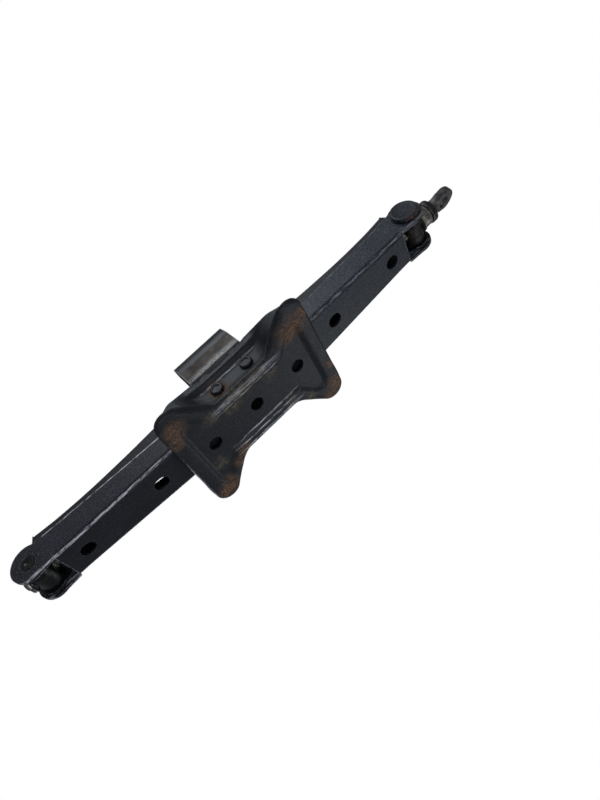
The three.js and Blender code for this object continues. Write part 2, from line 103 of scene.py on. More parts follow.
TOOTH_ADDENDUM, TOOTH_DEDENDUM, TOOTH_BACKLASH = 1.15, 1.55, 0.45
PRESSURE = math.radians(20)
BASE_SHANK, SADDLE_SHANK, JOURNAL = 4.0, 3.5, 6.0
SCREW_CORE, SCREW_RADIUS, SCREW_PITCH = 4.7, 6.0, 3.0
FAR = 90.0            # well outside the jack, for the open side of the channels
STEP_IN = 0.4         # how far inside the web's ends a side outline leaves the web's surface
SKIM = 0.03           # a shaving that keeps two cutting surfaces from coinciding
PAST_WEB = 3.0        # how far a side outline stands off the web's surface between its ends
REACH = 30.0          # half the length of the cutters that go right through a piece
MERGE = 2e-6          # metres within which points become one
SMOOTH_ANGLE = math.radians(42)


# ---- mesh tools ----
@contextlib.contextmanager
def editing(mesh):
    """A mesh opened for editing, and written back afterwards."""
    shape = bmesh.new()
    shape.from_mesh(mesh)
    yield shape
    shape.to_mesh(mesh)
    shape.free()


def new_object(name, verts, faces):
    """A mesh object from millimetre points measured from the middle of the base, its faces turned out."""
    mesh = bpy.data.meshes.new(name)
    mesh.from_pydata([((x + BASE_X) * MM, y * MM, z * MM) for x, y, z in verts], [], faces)
    with editing(mesh) as shape:
        bmesh.ops.recalc_face_normals(shape, faces=shape.faces)
    obj = bpy.data.objects.new(name, mesh)
    scene.collection.objects.link(obj)
    return obj


def prism(name, axis, outline, low, high):
    """An outline of (a, b) points swept straight along an axis."""
    order = {"X": lambda a, b, d: (d, a, b), "Y": lambda a, b, d: (a, d, b), "Z": lambda a, b, d: (a, b, d)}
    n = len(outline)
    verts = [order[axis](a, b, d) for d in (low, high) for a, b in outline]
    faces = [list(range(n)), list(range(2 * n - 1, n - 1, -1))]
    faces += [[i, (i + 1) % n, n + (i + 1) % n, n + i] for i in range(n)]
    return new_object(name, verts, faces)


def loft(name, rings):
    """A closed skin through rings of equal length."""
    n = len(rings[0])
    verts = [p for ring in rings for p in ring]
    faces = [list(range(n)), list(range(len(verts) - 1, len(verts) - n - 1, -1))]
    for k in range(len(rings) - 1):
        a, b = k * n, (k + 1) * n
        faces += [[a + i, a + (i + 1) % n, b + (i + 1) % n, b + i] for i in range(n)]
    return new_object(name, verts, faces)


def arc(cx, cy, r, start, end, steps):
    """Points on a circle, angles in degrees."""
    turn = [math.radians(start + (end - start) * i / steps) for i in range(steps + 1)]
    return [(cx + r * math.cos(t), cy + r * math.sin(t)) for t in turn]


def circle(cx, cy, r, steps):
    return arc(cx, cy, r, 0, 360 - 360 / steps, steps - 1)


def lathe(name, profile, axis, origin, segments=72):
    """A turned piece: profile is (radius, height) pairs, closed on the axis or on itself."""
    order = {"X": lambda a, b, h: (h, a, b), "Y": lambda a, b, h: (b, h, a), "Z": lambda a, b, h: (a, b, h)}
    verts, rows = [], []
    for r, h in profile:
        count = 1 if r < 1e-6 else segments
        rows.append((len(verts), count))
        for i in range(count):
            t = 2 * math.pi * i / segments
            x, y, z = order[axis](r * math.cos(t), r * math.sin(t), h)
            verts.append((x + origin[0], y + origin[1], z + origin[2]))
    pairs = list(zip(rows, rows[1:]))
    if profile[0][0] > 1e-6:
        pairs.append((rows[-1], rows[0]))
    faces = []
    for (a, ca), (b, cb) in pairs:
        for i in range(segments):
            j = (i + 1) % segments
            ring = [a + i % ca, a + j % ca, b + j % cb, b + i % cb]
            faces.append([v for k, v in enumerate(ring) if v not in ring[:k]])
    return new_object(name, verts, [f for f in faces if len(f) > 2])


def drill(radius, axis, origin, segments=72, reach=REACH):
    """A cutter for a round hole."""
    profile = [(0, -reach), (radius, -reach), (radius, reach), (0, reach)]
    return lathe("drill", profile, axis, origin, segments)


def both_ends(half, low, high):
    """A profile from low to high whose ends mirror each other; half gives heights above low."""
    return [(r, low + h) for r, h in half] + [(r, high - h) for r, h in reversed(half)]


def apply_modifiers(obj):
    graph = bpy.context.evaluated_depsgraph_get()
    mesh = bpy.data.meshes.new_from_object(obj.evaluated_get(graph))
    old = obj.data
    obj.modifiers.clear()
    obj.data = mesh
    bpy.data.meshes.remove(old)


def combine(obj, other, operation):
    """A boolean with another object, which is used up."""
    cut = obj.modifiers.new("cut", "BOOLEAN")
    cut.operation = operation
    cut.solver = "EXACT"
    cut.object = other
    bpy.context.view_layer.update()
    apply_modifiers(obj)
    bpy.data.objects.remove(other, do_unlink=True)


def cut_by(obj, *others):
    for other in others:
        combine(obj, other, "DIFFERENCE")


def tidy_mesh(obj):
    """Merges doubled points and drops collapsed edges left by a boolean."""
    with editing(obj.data) as shape:
        bmesh.ops.remove_doubles(shape, verts=shape.verts, dist=MERGE)
        bmesh.ops.dissolve_degenerate(shape, dist=MERGE, edges=shape.edges)
        bmesh.ops.recalc_face_normals(shape, faces=shape.faces)


def rounded(obj, width, segments=2, angle=38, broad=2.4):
    """Rounds edges sharper than angle degrees over width millimetres, and smooths all but broad faces."""
    tidy_mesh(obj)
    if width:
        bevel = obj.modifiers.new("edges", "BEVEL")
        bevel.width = width * MM
        bevel.segments = segments
        bevel.limit_method = "ANGLE"
        bevel.angle_limit = math.radians(angle)
        bevel.use_clamp_overlap = True
        bevel.miter_outer = "MITER_ARC"
        apply_modifiers(obj)
    mesh = obj.data
    mesh.shade_smooth()
    mesh.set_sharp_from_angle(angle=SMOOTH_ANGLE)
    for face in mesh.polygons:
        points = [mesh.vertices[i].co for i in face.vertices]
        longest = max((p - q).length for p, q in zip(points, points[1:] + points[:1]))
        face.use_smooth = face.area < longest * broad * MM
    return obj


def mirror_x(obj):
    """Turns a piece into its mirror image about the middle of the base."""
    with editing(obj.data) as shape:
        for v in shape.verts:
            v.co.x = 2 * BASE_X * MM - v.co.x
        bmesh.ops.reverse_faces(shape, faces=shape.faces)


def join(obj, other):
    """Adds another object's mesh to obj as one more shell."""
    with editing(obj.data) as shape:
        shape.from_mesh(other.data)
    bpy.data.objects.remove(other, do_unlink=True)
    return obj


def place(obj, node, body, slot, material):
    """Hands a finished piece to the frame: it stands for the CAD node and rides on its body."""
    obj.name = node + "_skin"
    obj.data.materials.clear()
    obj.data.materials.append(material)
    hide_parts(node)
    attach(obj, body)


# ---- material graphs ----
class Nodes:
    """The node tree of a material or of the world, written as expressions."""

    def __init__(self, owner):
        owner.use_nodes = True
        self.tree = owner.node_tree
        self.tree.nodes.clear()

    def make(self, kind, inputs=None, **settings):
        """A new shader node; each input is a value or the output that feeds it."""
        node = self.tree.nodes.new("ShaderNode" + kind)
        for key, value in settings.items():
            setattr(node, key, value)
        for key, value in (inputs or {}).items():
            self.join(value, node.inputs[key])
        return node

    def join(self, source, socket):
        if hasattr(source, "is_output"):
            self.tree.links.new(source, socket)
        elif socket.type == "RGBA":
            socket.default_value = (*source, 1.0)
        else:
            socket.default_value = source

    def math(self, operation, *values):
        return self.make("Math", dict(enumerate(values)), operation=operation).outputs[0]

    def ramp(self, value, low, high, out_low=0.0, out_high=1.0, kind="SMOOTHSTEP"):
        """A clamped change from out_low to out_high as value goes from low to high."""
        inputs = {"Value": value, "From Min": low, "From Max": high, "To Min": out_low, "To Max": out_high}
        return self.make("MapRange", inputs, interpolation_type=kind).outputs["Result"]


class Graph(Nodes):
    """A material whose look depends on the place on the piece, in millimetres."""

    def __init__(self, name):
        self.material = bpy.data.materials.new(name)
        super().__init__(self.material)
        self.shader = self.make("BsdfPrincipled")
        self.make("OutputMaterial", {"Surface": self.shader.outputs["BSDF"]})
        place = self.make("TexCoord").outputs["Object"]
        scaled = self.make("VectorMath", {0: place, "Scale": 1 / MM}, operation="SCALE")
        self.point = scaled.outputs[0]
        self.x, self.y, self.z = self.make("SeparateXYZ", {0: self.point}).outputs

    def add(self, a, b):
        return self.math("ADD", a, b)

    def sub(self, a, b):
        return self.math("SUBTRACT", a, b)

    def mul(self, first, *others):
        for value in others:
            first = self.math("MULTIPLY", first, value)
        return first

    def top(self, first, *others):
        for value in others:
            first = self.math("MAXIMUM", first, value)
        return first

    def size(self, a):
        return self.math("ABSOLUTE", a)

    def mixed(self, a, b, share=0.5):
        """a and b added up, a with its share and b with the rest."""
        return self.add(self.mul(a, share), self.mul(b, 1 - share))

    def slope(self, value, *limits):
        """A ramp that is straight instead of smooth."""
        return self.ramp(value, *limits, kind="LINEAR")

    def band(self, value, centre, half, soft):
        """1 within half of centre, falling to 0 over soft."""
        return self.ramp(self.size(self.sub(value, centre)), half + soft, half)

    def noise(self, scale, detail, rough, shift, stretch=(1, 1, 1)):
        """Noise with blotches about scale millimetres across; shift picks another part of the pattern."""
        place = self.make("Mapping", {
            "Vector": self.point,
            "Location": (shift * 17.3, shift * 5.1, shift * 29.7),
            "Scale": [s / scale for s in stretch],
        })
        inputs = {"Vector": place.outputs[0], "Scale": 1.0, "Detail": detail, "Roughness": rough}
        return self.make("TexNoise", inputs).outputs["Fac"]

    def spot(self, centre, radius, soft):
        """1 inside a ball around a place given in jack millimetres, 0 outside it."""
        middle = (centre[0] + BASE_X, centre[1], centre[2])
        away = self.make("VectorMath", {0: self.point, 1: middle}, operation="DISTANCE")
        return self.ramp(away.outputs["Value"], radius + soft, radius - soft)

    def edges(self, radius):
        """1 on convex and concave edges narrower than radius millimetres, 0 on open faces."""
        bevel = self.make("Bevel", {"Radius": radius * MM}, samples=6).outputs[0]
        normal = self.make("NewGeometry").outputs["Normal"]
        dot = self.make("VectorMath", {0: bevel, 1: normal}, operation="DOT_PRODUCT")
        return self.ramp(dot.outputs["Value"], 0.99, 0.86)

    def colour(self, fac, a, b):
        return self.make("Mix", {0: fac, 6: a, 7: b}, data_type="RGBA").outputs[2]

    def blend(self, fac, a, b):
        return self.make("Mix", {0: fac, 2: a, 3: b}, data_type="FLOAT").outputs[0]

    def bump(self, *layers):
        """Height layers as (height, depth in millimetres)."""
        below = {}
        for height, depth in layers:
            inputs = {"Strength": 1.0, "Distance": depth * MM, "Height": height, **below}
            below = {"Normal": self.make("Bump", inputs).outputs[0]}
        self.join(below["Normal"], self.shader.inputs["Normal"])

    def finish(self, colour, roughness, metallic, coat=0.0, shine=0.5):
        values = {"Base Color": colour, "Roughness": roughness, "Metallic": metallic, "Coat Weight": coat,
                  "Coat Roughness": 0.25, "Specular IOR Level": shine}
        for key, value in values.items():
            self.join(value, self.shader.inputs[key])
        return self.material


# ---- finishes ----
PAINT_DARK = (0.0074, 0.0078, 0.0104)
STEEL = (0.72, 0.70, 0.71)
WORN_GREY = (0.230, 0.222, 0.260)
RUST_DARK = (0.090, 0.052, 0.034)
RUST = (0.370, 0.190, 0.100)
RUST_PALE = (0.62, 0.41, 0.26)
# painted highlights: bright specks laid in the grease in place of glints of light
PAINTED_GLINT = (0.62, 0.68, 0.64)
YELLOW_DUST = (0.300, 0.235, 0.135)
GREASE = (0.004, 0.0045, 0.005)
GRIME = (0.006, 0.006, 0.006)


def lay(g, mask, colour, rough):
    """Covers the masked part with another colour and roughness."""
    g.shade = g.colour(mask, g.shade, colour)
    g.rough = g.blend(mask, g.rough, rough)


def paint_coat(g, tint, haze):
    """Semi-gloss black paint, with tinted blotches, dark hollows and a pale grain."""
    g.broad = g.noise(26, 3, 0.5, 1)
    g.fine = g.noise(1.6, 5, 0.65, 2)
    g.grit = g.noise(0.8, 3, 0.75, 3)
    g.streak = g.noise(1.1, 3, 0.6, 4, (0.12, 1, 1))
    g.grain = g.noise(1.5, 3, 0.7, 13)
    g.speckle = g.mixed(g.noise(4.5, 6, 0.72, 8), g.noise(0.8, 5, 0.75, 9), 0.42)
    hollow = [c * 0.6 for c in PAINT_DARK]
    pale = [c * 4.2 for c in tint]
    hazy = haze(g) if callable(haze) else haze
    g.shade = g.colour(g.ramp(g.broad, 0.35, 0.68), PAINT_DARK, tint)
    g.shade = g.colour(g.ramp(g.grain, 0.38, 0.66), hollow, g.shade)
    g.shade = g.colour(g.mul(g.ramp(g.grit, 0.50, 0.64), hazy), g.shade, pale)
    g.rough = g.add(g.ramp(g.broad, 0.3, 0.7, 0.34, 0.46), g.ramp(g.fine, 0.35, 0.7, -0.04, 0.10))


def wear_paint(g, amount, calm, bends):
    """Bare steel on the edges, in chips and along the bends, whose mask may also hold a painted highlight."""
    edge = g.edges(1.1)
    for centre, radius in calm:
        edge = g.mul(edge, g.sub(1.0, g.mul(g.spot(centre, radius, 1.5), 0.85)))
    rub = g.mixed(g.fine, g.streak)
    worn = g.mul(edge, g.ramp(rub, 0.56 - 0.2 * amount, 0.60), amount)
    chip = g.ramp(g.noise(2.2, 6, 0.7, 5), 0.67, 0.71)
    bare = g.top(worn, g.mul(chip, g.ramp(g.broad, 0.45, 0.6), 0.35))
    if bends is not None:
        bare = g.top(bare, g.mul(bends(g), g.ramp(rub, 0.36, 0.58)))
    lay(g, bare, WORN_GREY, 0.46)
    g.shade = g.colour(g.mul(bare, g.ramp(g.streak, 0.40, 0.62)), g.shade, STEEL)
    g.metal = g.mul(bare, 0.25)


def rust_paint(g, spots):
    """Rust in small seeds everywhere and in patches on the spots; returns how thick it is."""
    tone = g.colour(g.ramp(g.noise(1.3, 6, 0.7, 6), 0.38, 0.62), RUST_DARK, RUST)
    tone = g.colour(g.ramp(g.noise(0.6, 4, 0.7, 7), 0.58, 0.74), tone, RUST_PALE)
    field = g.ramp(g.speckle, 0.62, 0.69, 0.0, 0.48)
    for centre, radius in spots:
        near = g.spot(centre, radius, radius * 0.7)
        field = g.top(field, g.mul(near, g.ramp(g.speckle, 0.40, 0.56), 0.92))
    lay(g, field, tone, 0.88)
    g.metal = g.mul(g.metal, g.sub(1.0, field))
    return g.mul(field, g.speckle)


def soil_and_glint_paint(g, dust, grease):
    """Yellow dust, and black grease with wet beads, and bright specks painted in it as painted highlights."""
    for centre, radius in dust:
        near = g.spot(centre, radius, radius * 0.6)
        lay(g, g.mul(near, g.ramp(g.speckle, 0.46, 0.60), 0.6), YELLOW_DUST, 0.9)
    for centre, radius in grease:
        near = g.spot(centre, radius, radius * 0.35)
        beads = g.ramp(g.noise(1.6, 4, 0.8, 11), 0.48, 0.60)
        # painted highlights: bright specks in the grease, standing in for glints of light
        painted_glint = g.ramp(g.noise(1.1, 2, 0.6, 14), 0.66, 0.70)
        g.shade = g.colour(g.mul(near, 0.85), g.shade, GREASE)
        g.shade = g.colour(g.mul(near, painted_glint), g.shade, PAINTED_GLINT)
        g.rough = g.blend(g.mul(near, beads), g.rough, 0.12)


def painted(name, tint, haze=0.5, edge_wear=0.55, calm=(), bends=None, spots=(), dust=(), grease=()):
    """Black paint worn to steel on its edges.

    calm, spots, dust and grease are (centre, radius) pairs in jack millimetres: where the edges kept their
    paint, and where rust, dust and grease are; bright specks in the grease are painted highlights.
    bends is a function of the graph that gives the mask of extra worn lines, and on the base also of a
    painted highlight along the fold under the lip. haze is how grainy the paint is, as a number or a
    function of the graph.
    """
    g = Graph(name)
    paint_coat(g, tint, haze)
    wear_paint(g, edge_wear, calm, bends)
    crust = rust_paint(g, spots)
    soil_and_glint_paint(g, dust, grease)
    waves = g.noise(7, 2, 0.5, 12)
    g.bump((g.fine, 0.14), (g.grain, 0.26), (g.grit, 0.08), (waves, 0.10), (crust, 0.35))
    return g.finish(g.shade, g.rough, g.metal, coat=0.08, shine=0.3)


FLANGE_TOP = (28.1, 40.4)   # height of a lower arm's flange, 60 mm and 184 mm from the middle


def lower_web_height(g, along):
    return g.slope(along, PIVOT_X, END_X, BASE_PIVOT_Z - LOWER_WEB_DROP, SCREW_Z - LOWER_WEB_DROP)


def lower_arm_bends(strength, rim_strength):
    """A mask of the rubbed lines on a lower arm: along its two bends, and along the flanges' free edges."""
    def mask(g):
        along = g.size(g.sub(g.x, BASE_X))
        half = g.slope(along, WIDE_END, NARROW_START, LOWER["wide"], LOWER["narrow"])
        inside = g.sub(half, g.size(g.y))
        above = g.sub(g.z, lower_web_height(g, along))
        line = g.mul(g.band(g.sub(inside, above), 0.3, 0.9, 0.9), g.ramp(above, 3.8, 3.0))
        rim = g.band(g.sub(g.slope(along, 60, 184, *FLANGE_TOP), g.z), 0.3, 0.5, 0.5)
        rim = g.mul(rim, g.ramp(along, 184, 180), g.ramp(inside, 3.2, 2.6))
        return g.top(g.mul(line, strength), g.mul(rim, rim_strength))
    return mask


def flange_haze(g):
    """How grainy an arm is: its flanges much, its web little."""
    return g.ramp(g.size(g.y), 13.5, 16.5, 0.25, 0.8)


def bare_steel(name, dark, light, rough, rust, oil, wet=0.0, streaks="X", clean=()):
    """Turned or drawn steel with machining streaks along an axis, stains and a little rust.

    rough is the lowest and highest roughness, oil how dark the grime is and wet how much it shines; clean
    lists bright places as (centre, radius).
    """
    g = Graph(name)
    line = g.noise(0.5, 3, 0.6, 21, [0.08 if axis == streaks else 1 for axis in "XYZ"])
    blotch = g.noise(5, 5, 0.6, 22)
    fine = g.noise(0.8, 5, 0.7, 23)
    lines = g.mul(g.ramp(line, 0.52, 0.66), 0.5)
    colour = g.colour(g.ramp(blotch, 0.32, 0.66), dark, light)
    colour = g.colour(lines, colour, [min(1, c * 1.6) for c in light])
    rusty = g.mul(g.ramp(g.mixed(blotch, fine), 0.56 - 0.12 * rust, 0.64), min(1.0, rust * 2))
    colour = g.colour(rusty, colour, g.colour(g.ramp(fine, 0.4, 0.65), RUST_DARK, RUST))
    colour = g.colour(g.mul(g.edges(0.8), g.ramp(fine, 0.35, 0.6), 0.5), colour, STEEL)
    grime = g.mul(g.ramp(g.noise(9, 4, 0.6, 24), 0.40, 0.60), oil)
    colour = g.colour(grime, colour, GRIME)
    for centre, radius in clean:
        colour = g.colour(g.spot(centre, radius, 0.6), colour, STEEL)
    roughness = g.add(g.ramp(fine, 0.3, 0.7, *rough), g.mul(rusty, 0.3))
    roughness = g.blend(g.mul(grime, wet), roughness, 0.16)
    metal = g.mul(g.sub(1.0, rusty), g.sub(0.95, g.mul(grime, 0.6)))
    g.bump((line, 0.02), (fine, 0.06), (rusty, 0.12))
    return g.finish(colour, roughness, metal)


SADDLE_BROWN = (0.045, 0.038, 0.033), (0.120, 0.108, 0.097)
SADDLE_GREY = (0.010, 0.011, 0.012), (0.024, 0.026, 0.029)
# painted sheen: a pale bluish grey laid as a band below the saddle's shoulders, standing in for light on that
# curve
SADDLE_PAINTED_SHEEN = (0.175, 0.180, 0.195)
SADDLE_SILVER = (0.33, 0.32, 0.305)
SADDLE_SHADOW = (0.008, 0.008, 0.009)
SADDLE_RUST = (0.085, 0.045, 0.022)


def saddle_steel(name):
    """The saddle: dark grey shoulders with a painted sheen below them as a pale bluish band, sides rubbed
    to brown steel, and a painted shadow low down.
    """
    g = Graph(name)
    broad = g.noise(14, 4, 0.55, 31)
    fine = g.noise(1.3, 5, 0.7, 32)
    streak = g.noise(0.9, 4, 0.6, 33, (0.10, 1, 1))
    wobble = g.mul(g.sub(g.noise(6, 3, 0.5, 34), 0.5), 2.2)
    height = g.add(g.z, wobble)
    steady = g.add(g.z, g.mul(wobble, 0.5))
    shoulder = g.ramp(steady, 69.0, 73.0)
    # painted shadow: the sides turn near black and lose their metal low down, where they pass behind the
    # base's lip
    low = g.ramp(height, 46.6, 44.8)
    colour = g.colour(g.ramp(g.mixed(broad, streak), 0.38, 0.62), *SADDLE_BROWN)
    flecks = g.mul(g.ramp(height, 53.0, 48.0), g.ramp(fine, 0.40, 0.58, 0.1, 1.0))
    colour = g.colour(flecks, colour, SADDLE_SILVER)
    # painted sheen: the pale bluish band below the shoulders
    colour = g.colour(g.mul(g.band(steady, 66.0, 1.5, 3.2), 0.65), colour, SADDLE_PAINTED_SHEEN)
    colour = g.colour(shoulder, colour, g.colour(g.ramp(broad, 0.35, 0.65), *SADDLE_GREY))
    # painted shadow low down on the sides
    colour = g.colour(low, colour, SADDLE_SHADOW)
    rusty = g.mul(g.ramp(g.mixed(g.noise(4, 6, 0.7, 35), fine, 0.6), 0.56, 0.66), 0.55)
    colour = g.colour(rusty, colour, SADDLE_RUST)
    worn = g.mul(g.edges(1.2), g.ramp(fine, 0.35, 0.6), 0.8)
    colour = g.colour(worn, colour, STEEL)
    bare = g.mul(g.sub(1.0, shoulder), g.sub(1.0, low))
    metal = g.mul(g.top(g.mul(bare, 0.75), worn), g.sub(1.0, rusty))
    rough = g.add(g.blend(shoulder, 0.50, 0.44), g.ramp(fine, 0.3, 0.7, -0.06, 0.12))
    g.bump((fine, 0.05), (streak, 0.04), (broad, 0.15))
    return g.finish(colour, rough, metal, shine=0.2)


# ---- curves ----
def smoothstep(t):
    u = min(1.0, max(0.0, t))
    return u * u * (3 - 2 * u)


def hermite(t, a, b, length, slope_a, slope_b):
    """The cubic from a to b with the given slopes, length apart, at t between 0 and 1."""
    return ((2 * t**3 - 3 * t**2 + 1) * a + (t**3 - 2 * t**2 + t) * length * slope_a
            + (3 * t**2 - 2 * t**3) * b + (t**3 - t**2) * length * slope_b)


def curve_at(xs, ys, x):
    """A smooth curve through the points (xs, ys), straight beyond them."""
    n = len(xs)
    slopes = []
    for i in range(n):
        a, b = max(i - 1, 0), min(i + 1, n - 1)
        slopes.append((ys[b] - ys[a]) / (xs[b] - xs[a]))
    if x <= xs[0]:
        return ys[0] + slopes[0] * (x - xs[0])
    if x >= xs[-1]:
        return ys[-1] + slopes[-1] * (x - xs[-1])
    i = max(k for k in range(n - 1) if xs[k] <= x)
    length = xs[i + 1] - xs[i]
    return hermite((x - xs[i]) / length, ys[i], ys[i + 1], length, slopes[i], slopes[i + 1])


def spline(points, closed, steps):
    """A smooth curve through points of any dimension, with steps pieces between neighbours."""
    n = len(points)
    pts = [Vector(p) for p in points]

    def at(i):
        return pts[i % n] if closed else pts[min(max(i, 0), n - 1)]

    out = []
    for i in range(n if closed else n - 1):
        a, b, c, d = at(i - 1), at(i), at(i + 1), at(i + 2)
        gap = max((c - b).length, 1e-6)
        before, after = max((b - a).length, 1e-6), max((d - c).length, 1e-6)
        slope_b = slope_c = (c - b) / gap
        if closed or i:
            slope_b = ((c - b) / gap * before + (b - a) / before * gap) / (gap + before)
        if closed or i < n - 2:
            slope_c = ((c - b) / gap * after + (d - c) / after * gap) / (gap + after)
        out += [hermite(k / steps, b, c, gap, slope_b, slope_c) for k in range(steps)]
    return out if closed else [*out, pts[-1]]


def eased(t, ease):
    """0 below 0 and 1 above 1, straight between, with both corners rounded over ease on each side."""
    def ramp(u):
        return 0.0 if u < -ease else u if u > ease else (u + ease) ** 2 / (4 * ease)
    return ramp(t) - ramp(t - 1)


# ---- arms ----
def lower_line(a):
    return BASE_PIVOT_Z + (SCREW_Z - BASE_PIVOT_Z) * (a - PIVOT_X) / (END_X - PIVOT_X)


def upper_line(a):
    return 2 * SCREW_Z - lower_line(a)


def lower_web(a):
    return lower_line(a) - LOWER_WEB_DROP


def upper_web(a):
    """The upper web climbs in a smooth curve towards the end of the arm."""
    xs, rises = zip(*UPPER_WEB_RISE)
    return upper_line(a) + curve_at(xs, rises, a)


def half_width(arm, a):
    share = eased((a - WIDE_END) / (NARROW_START - WIDE_END), TAPER_EASE)
    return arm["wide"] + (arm["narrow"] - arm["wide"]) * share


def toothed_end(cz, turn, first_tooth, count):
    """Involute teeth around an arm's inner end; angles count from -X."""
    root, tip = PIVOT_X - TOOTH_DEDENDUM, PIVOT_X + TOOTH_ADDENDUM
    base_r = PIVOT_X * math.cos(PRESSURE)

    def involute(r):
        c = math.acos(min(1, base_r / r))
        return math.tan(c) - c

    half_pitch = math.pi / TEETH / 2 - TOOTH_BACKLASH / 2 / PIVOT_X
    flank = [root, base_r + 0.05] + [base_r + (tip - base_r) * k / 4 for k in (1, 2, 3, 4)]
    step = 2 * math.pi / TEETH

    def half_at(r):
        return half_pitch + involute(PIVOT_X) - involute(max(r, base_r))

    def point(r, phi):
        return (PIVOT_X - r * math.cos(phi), cz + turn * r * math.sin(phi))

    points = []
    for k in range(count):
        middle = math.radians(first_tooth) + k * step
        if k == 0:
            points.append(point(root, middle - step / 2))
        points += [point(r, middle - half_at(r)) for r in flank]
        points += [point(r, middle + half_at(r)) for r in reversed(flank)]
        points.append(point(root, middle + step / 2))
    return points


def lower_profile(first_tooth):
    """Side outline of a lower arm; the web's own surface lies above the stretch between the two steps."""
    teeth = toothed_end(BASE_PIVOT_Z, 1, first_tooth, 5)
    start, end = LOWER["start"], LOWER["end"]
    return [
        *arc(PIVOT_X, BASE_PIVOT_Z, HUB, 225, 270, 10),
        (start + STEP_IN, lower_web(start) + SKIM),
        (start + STEP_IN + SKIM, lower_web(start) - PAST_WEB),
        (end - STEP_IN - SKIM, lower_web(end) - PAST_WEB),
        (end - STEP_IN, lower_web(end) + SKIM),
        *arc(END_X, SCREW_Z, LOWER["ear"], -104, 122, 60),
        (187.5, lower_line(187.5) + 12.95), (184, lower_line(184) + 12.7),
        *[(a, lower_line(a) + 6.0 + 6.6 * (a - 60) / 124) for a in range(176, 60, -12)],
        (60, lower_line(60) + 6.0), (50, 27.9), (44, 28.8),
        (38, 29.8), (32, 30.6), (26, 31.0),
        *arc(PIVOT_X, BASE_PIVOT_Z, HUB, 66, 90, 6),
        *reversed(teeth),
    ]


def upper_profile(first_tooth):
    """Side outline of an upper arm, open below."""
    teeth = toothed_end(SADDLE_PIVOT_Z, -1, first_tooth, 5)
    start, end = UPPER["start"], UPPER["end"]
    return [
        *teeth,
        *arc(PIVOT_X, SADDLE_PIVOT_Z, HUB, 270, 300, 8),
        *UPPER_FLANGE_EDGE,
        *arc(END_X, SCREW_Z, UPPER["ear"], -120, 118, 56),
        (end - STEP_IN, upper_web(end) - SKIM),
        (end - STEP_IN - SKIM, upper_web(end) + PAST_WEB),
        (165, upper_web(165) + PAST_WEB), (100, upper_web(100) + PAST_WEB),
        (start + STEP_IN + SKIM, upper_web(start) + PAST_WEB),
        (start + STEP_IN, upper_web(start) - SKIM),
        *arc(PIVOT_X, SADDLE_PIVOT_Z, HUB, 80, 150, 14),
    ]


def channel_ring(a, half, web_z, radius, side):
    """The channel's section at one station: the web with its two bends, open on the other side."""
    steps = 9
    right = []
    for i in range(steps + 1):
        t = math.pi / 2 * i / steps
        y = half - radius + radius * math.sin(t)
        right.append((a, y, web_z + side * (radius - radius * math.cos(t))))
    left = [(a, -y, z) for _, y, z in reversed(right)]
    return [*left, *right, (a, half, side * FAR), (a, -half, side * FAR)]


def channel(name, arm, web, side, inset):
    """The space that an arm's outer or inner faces bound, from its inner end past its ear."""
    radius = max(1.4, arm["bend"] - inset)
    nowhere = -side * FAR * 0.9
    rings = [channel_ring(-5, arm["wide"] - inset, nowhere, radius, side),
             channel_ring(arm["start"] - 0.01, arm["wide"] - inset, nowhere, radius, side)]
    reach = TAPER_EASE * (NARROW_START - WIDE_END)
    stations = {arm["start"], arm["end"]}
    stations |= {corner + reach * k for corner in (WIDE_END, NARROW_START) for k in (-1, 0, 1)}
    if arm is UPPER:
        stations |= set(range(32, 60, 3)) | set(range(73, 163, 3)) | set(range(177, 189, 3))
    for a in sorted(stations):
        rings.append(channel_ring(a, half_width(arm, a) - inset, web(a) + side * inset, radius, side))
    for a in (arm["end"] + 0.01, END_X + 25):
        rings.append(channel_ring(a, half_width(arm, a) - inset, nowhere, radius, side))
    return loft(name, rings)


def pierce_y(x, z, r):
    return prism("hole", "Y", circle(x, z, r, 48), -FAR / 2, FAR / 2)


def slot_z(x, length, width):
    e = (length - width) / 2
    outline = [*arc(x + e, 0, width / 2, -90, 90, 20), *arc(x - e, 0, width / 2, 90, 270, 20)]
    return prism("slot", "Z", outline, 1, 25)


def arm_piece(profile, arm, web, side, pivot_z, shank, holes):
    obj = prism("arm", "Y", profile, -arm["wide"] - 1, arm["wide"] + 1)
    combine(obj, channel("outside", arm, web, side, 0), "INTERSECT")
    cut_by(obj, channel("inside", arm, web, side, ARM_SHEET), pierce_y(PIVOT_X, pivot_z, shank + GAP),
           pierce_y(END_X, SCREW_Z, JOURNAL + GAP), *[slot_z(a, 13, 11) for a in holes])
    return rounded(obj, 0.45)


def web_holes(side):
    """The places of a lower arm's pierced holes."""
    return [((side * a, 0, lower_web(a)), 9.0) for a in WEB_HOLES]


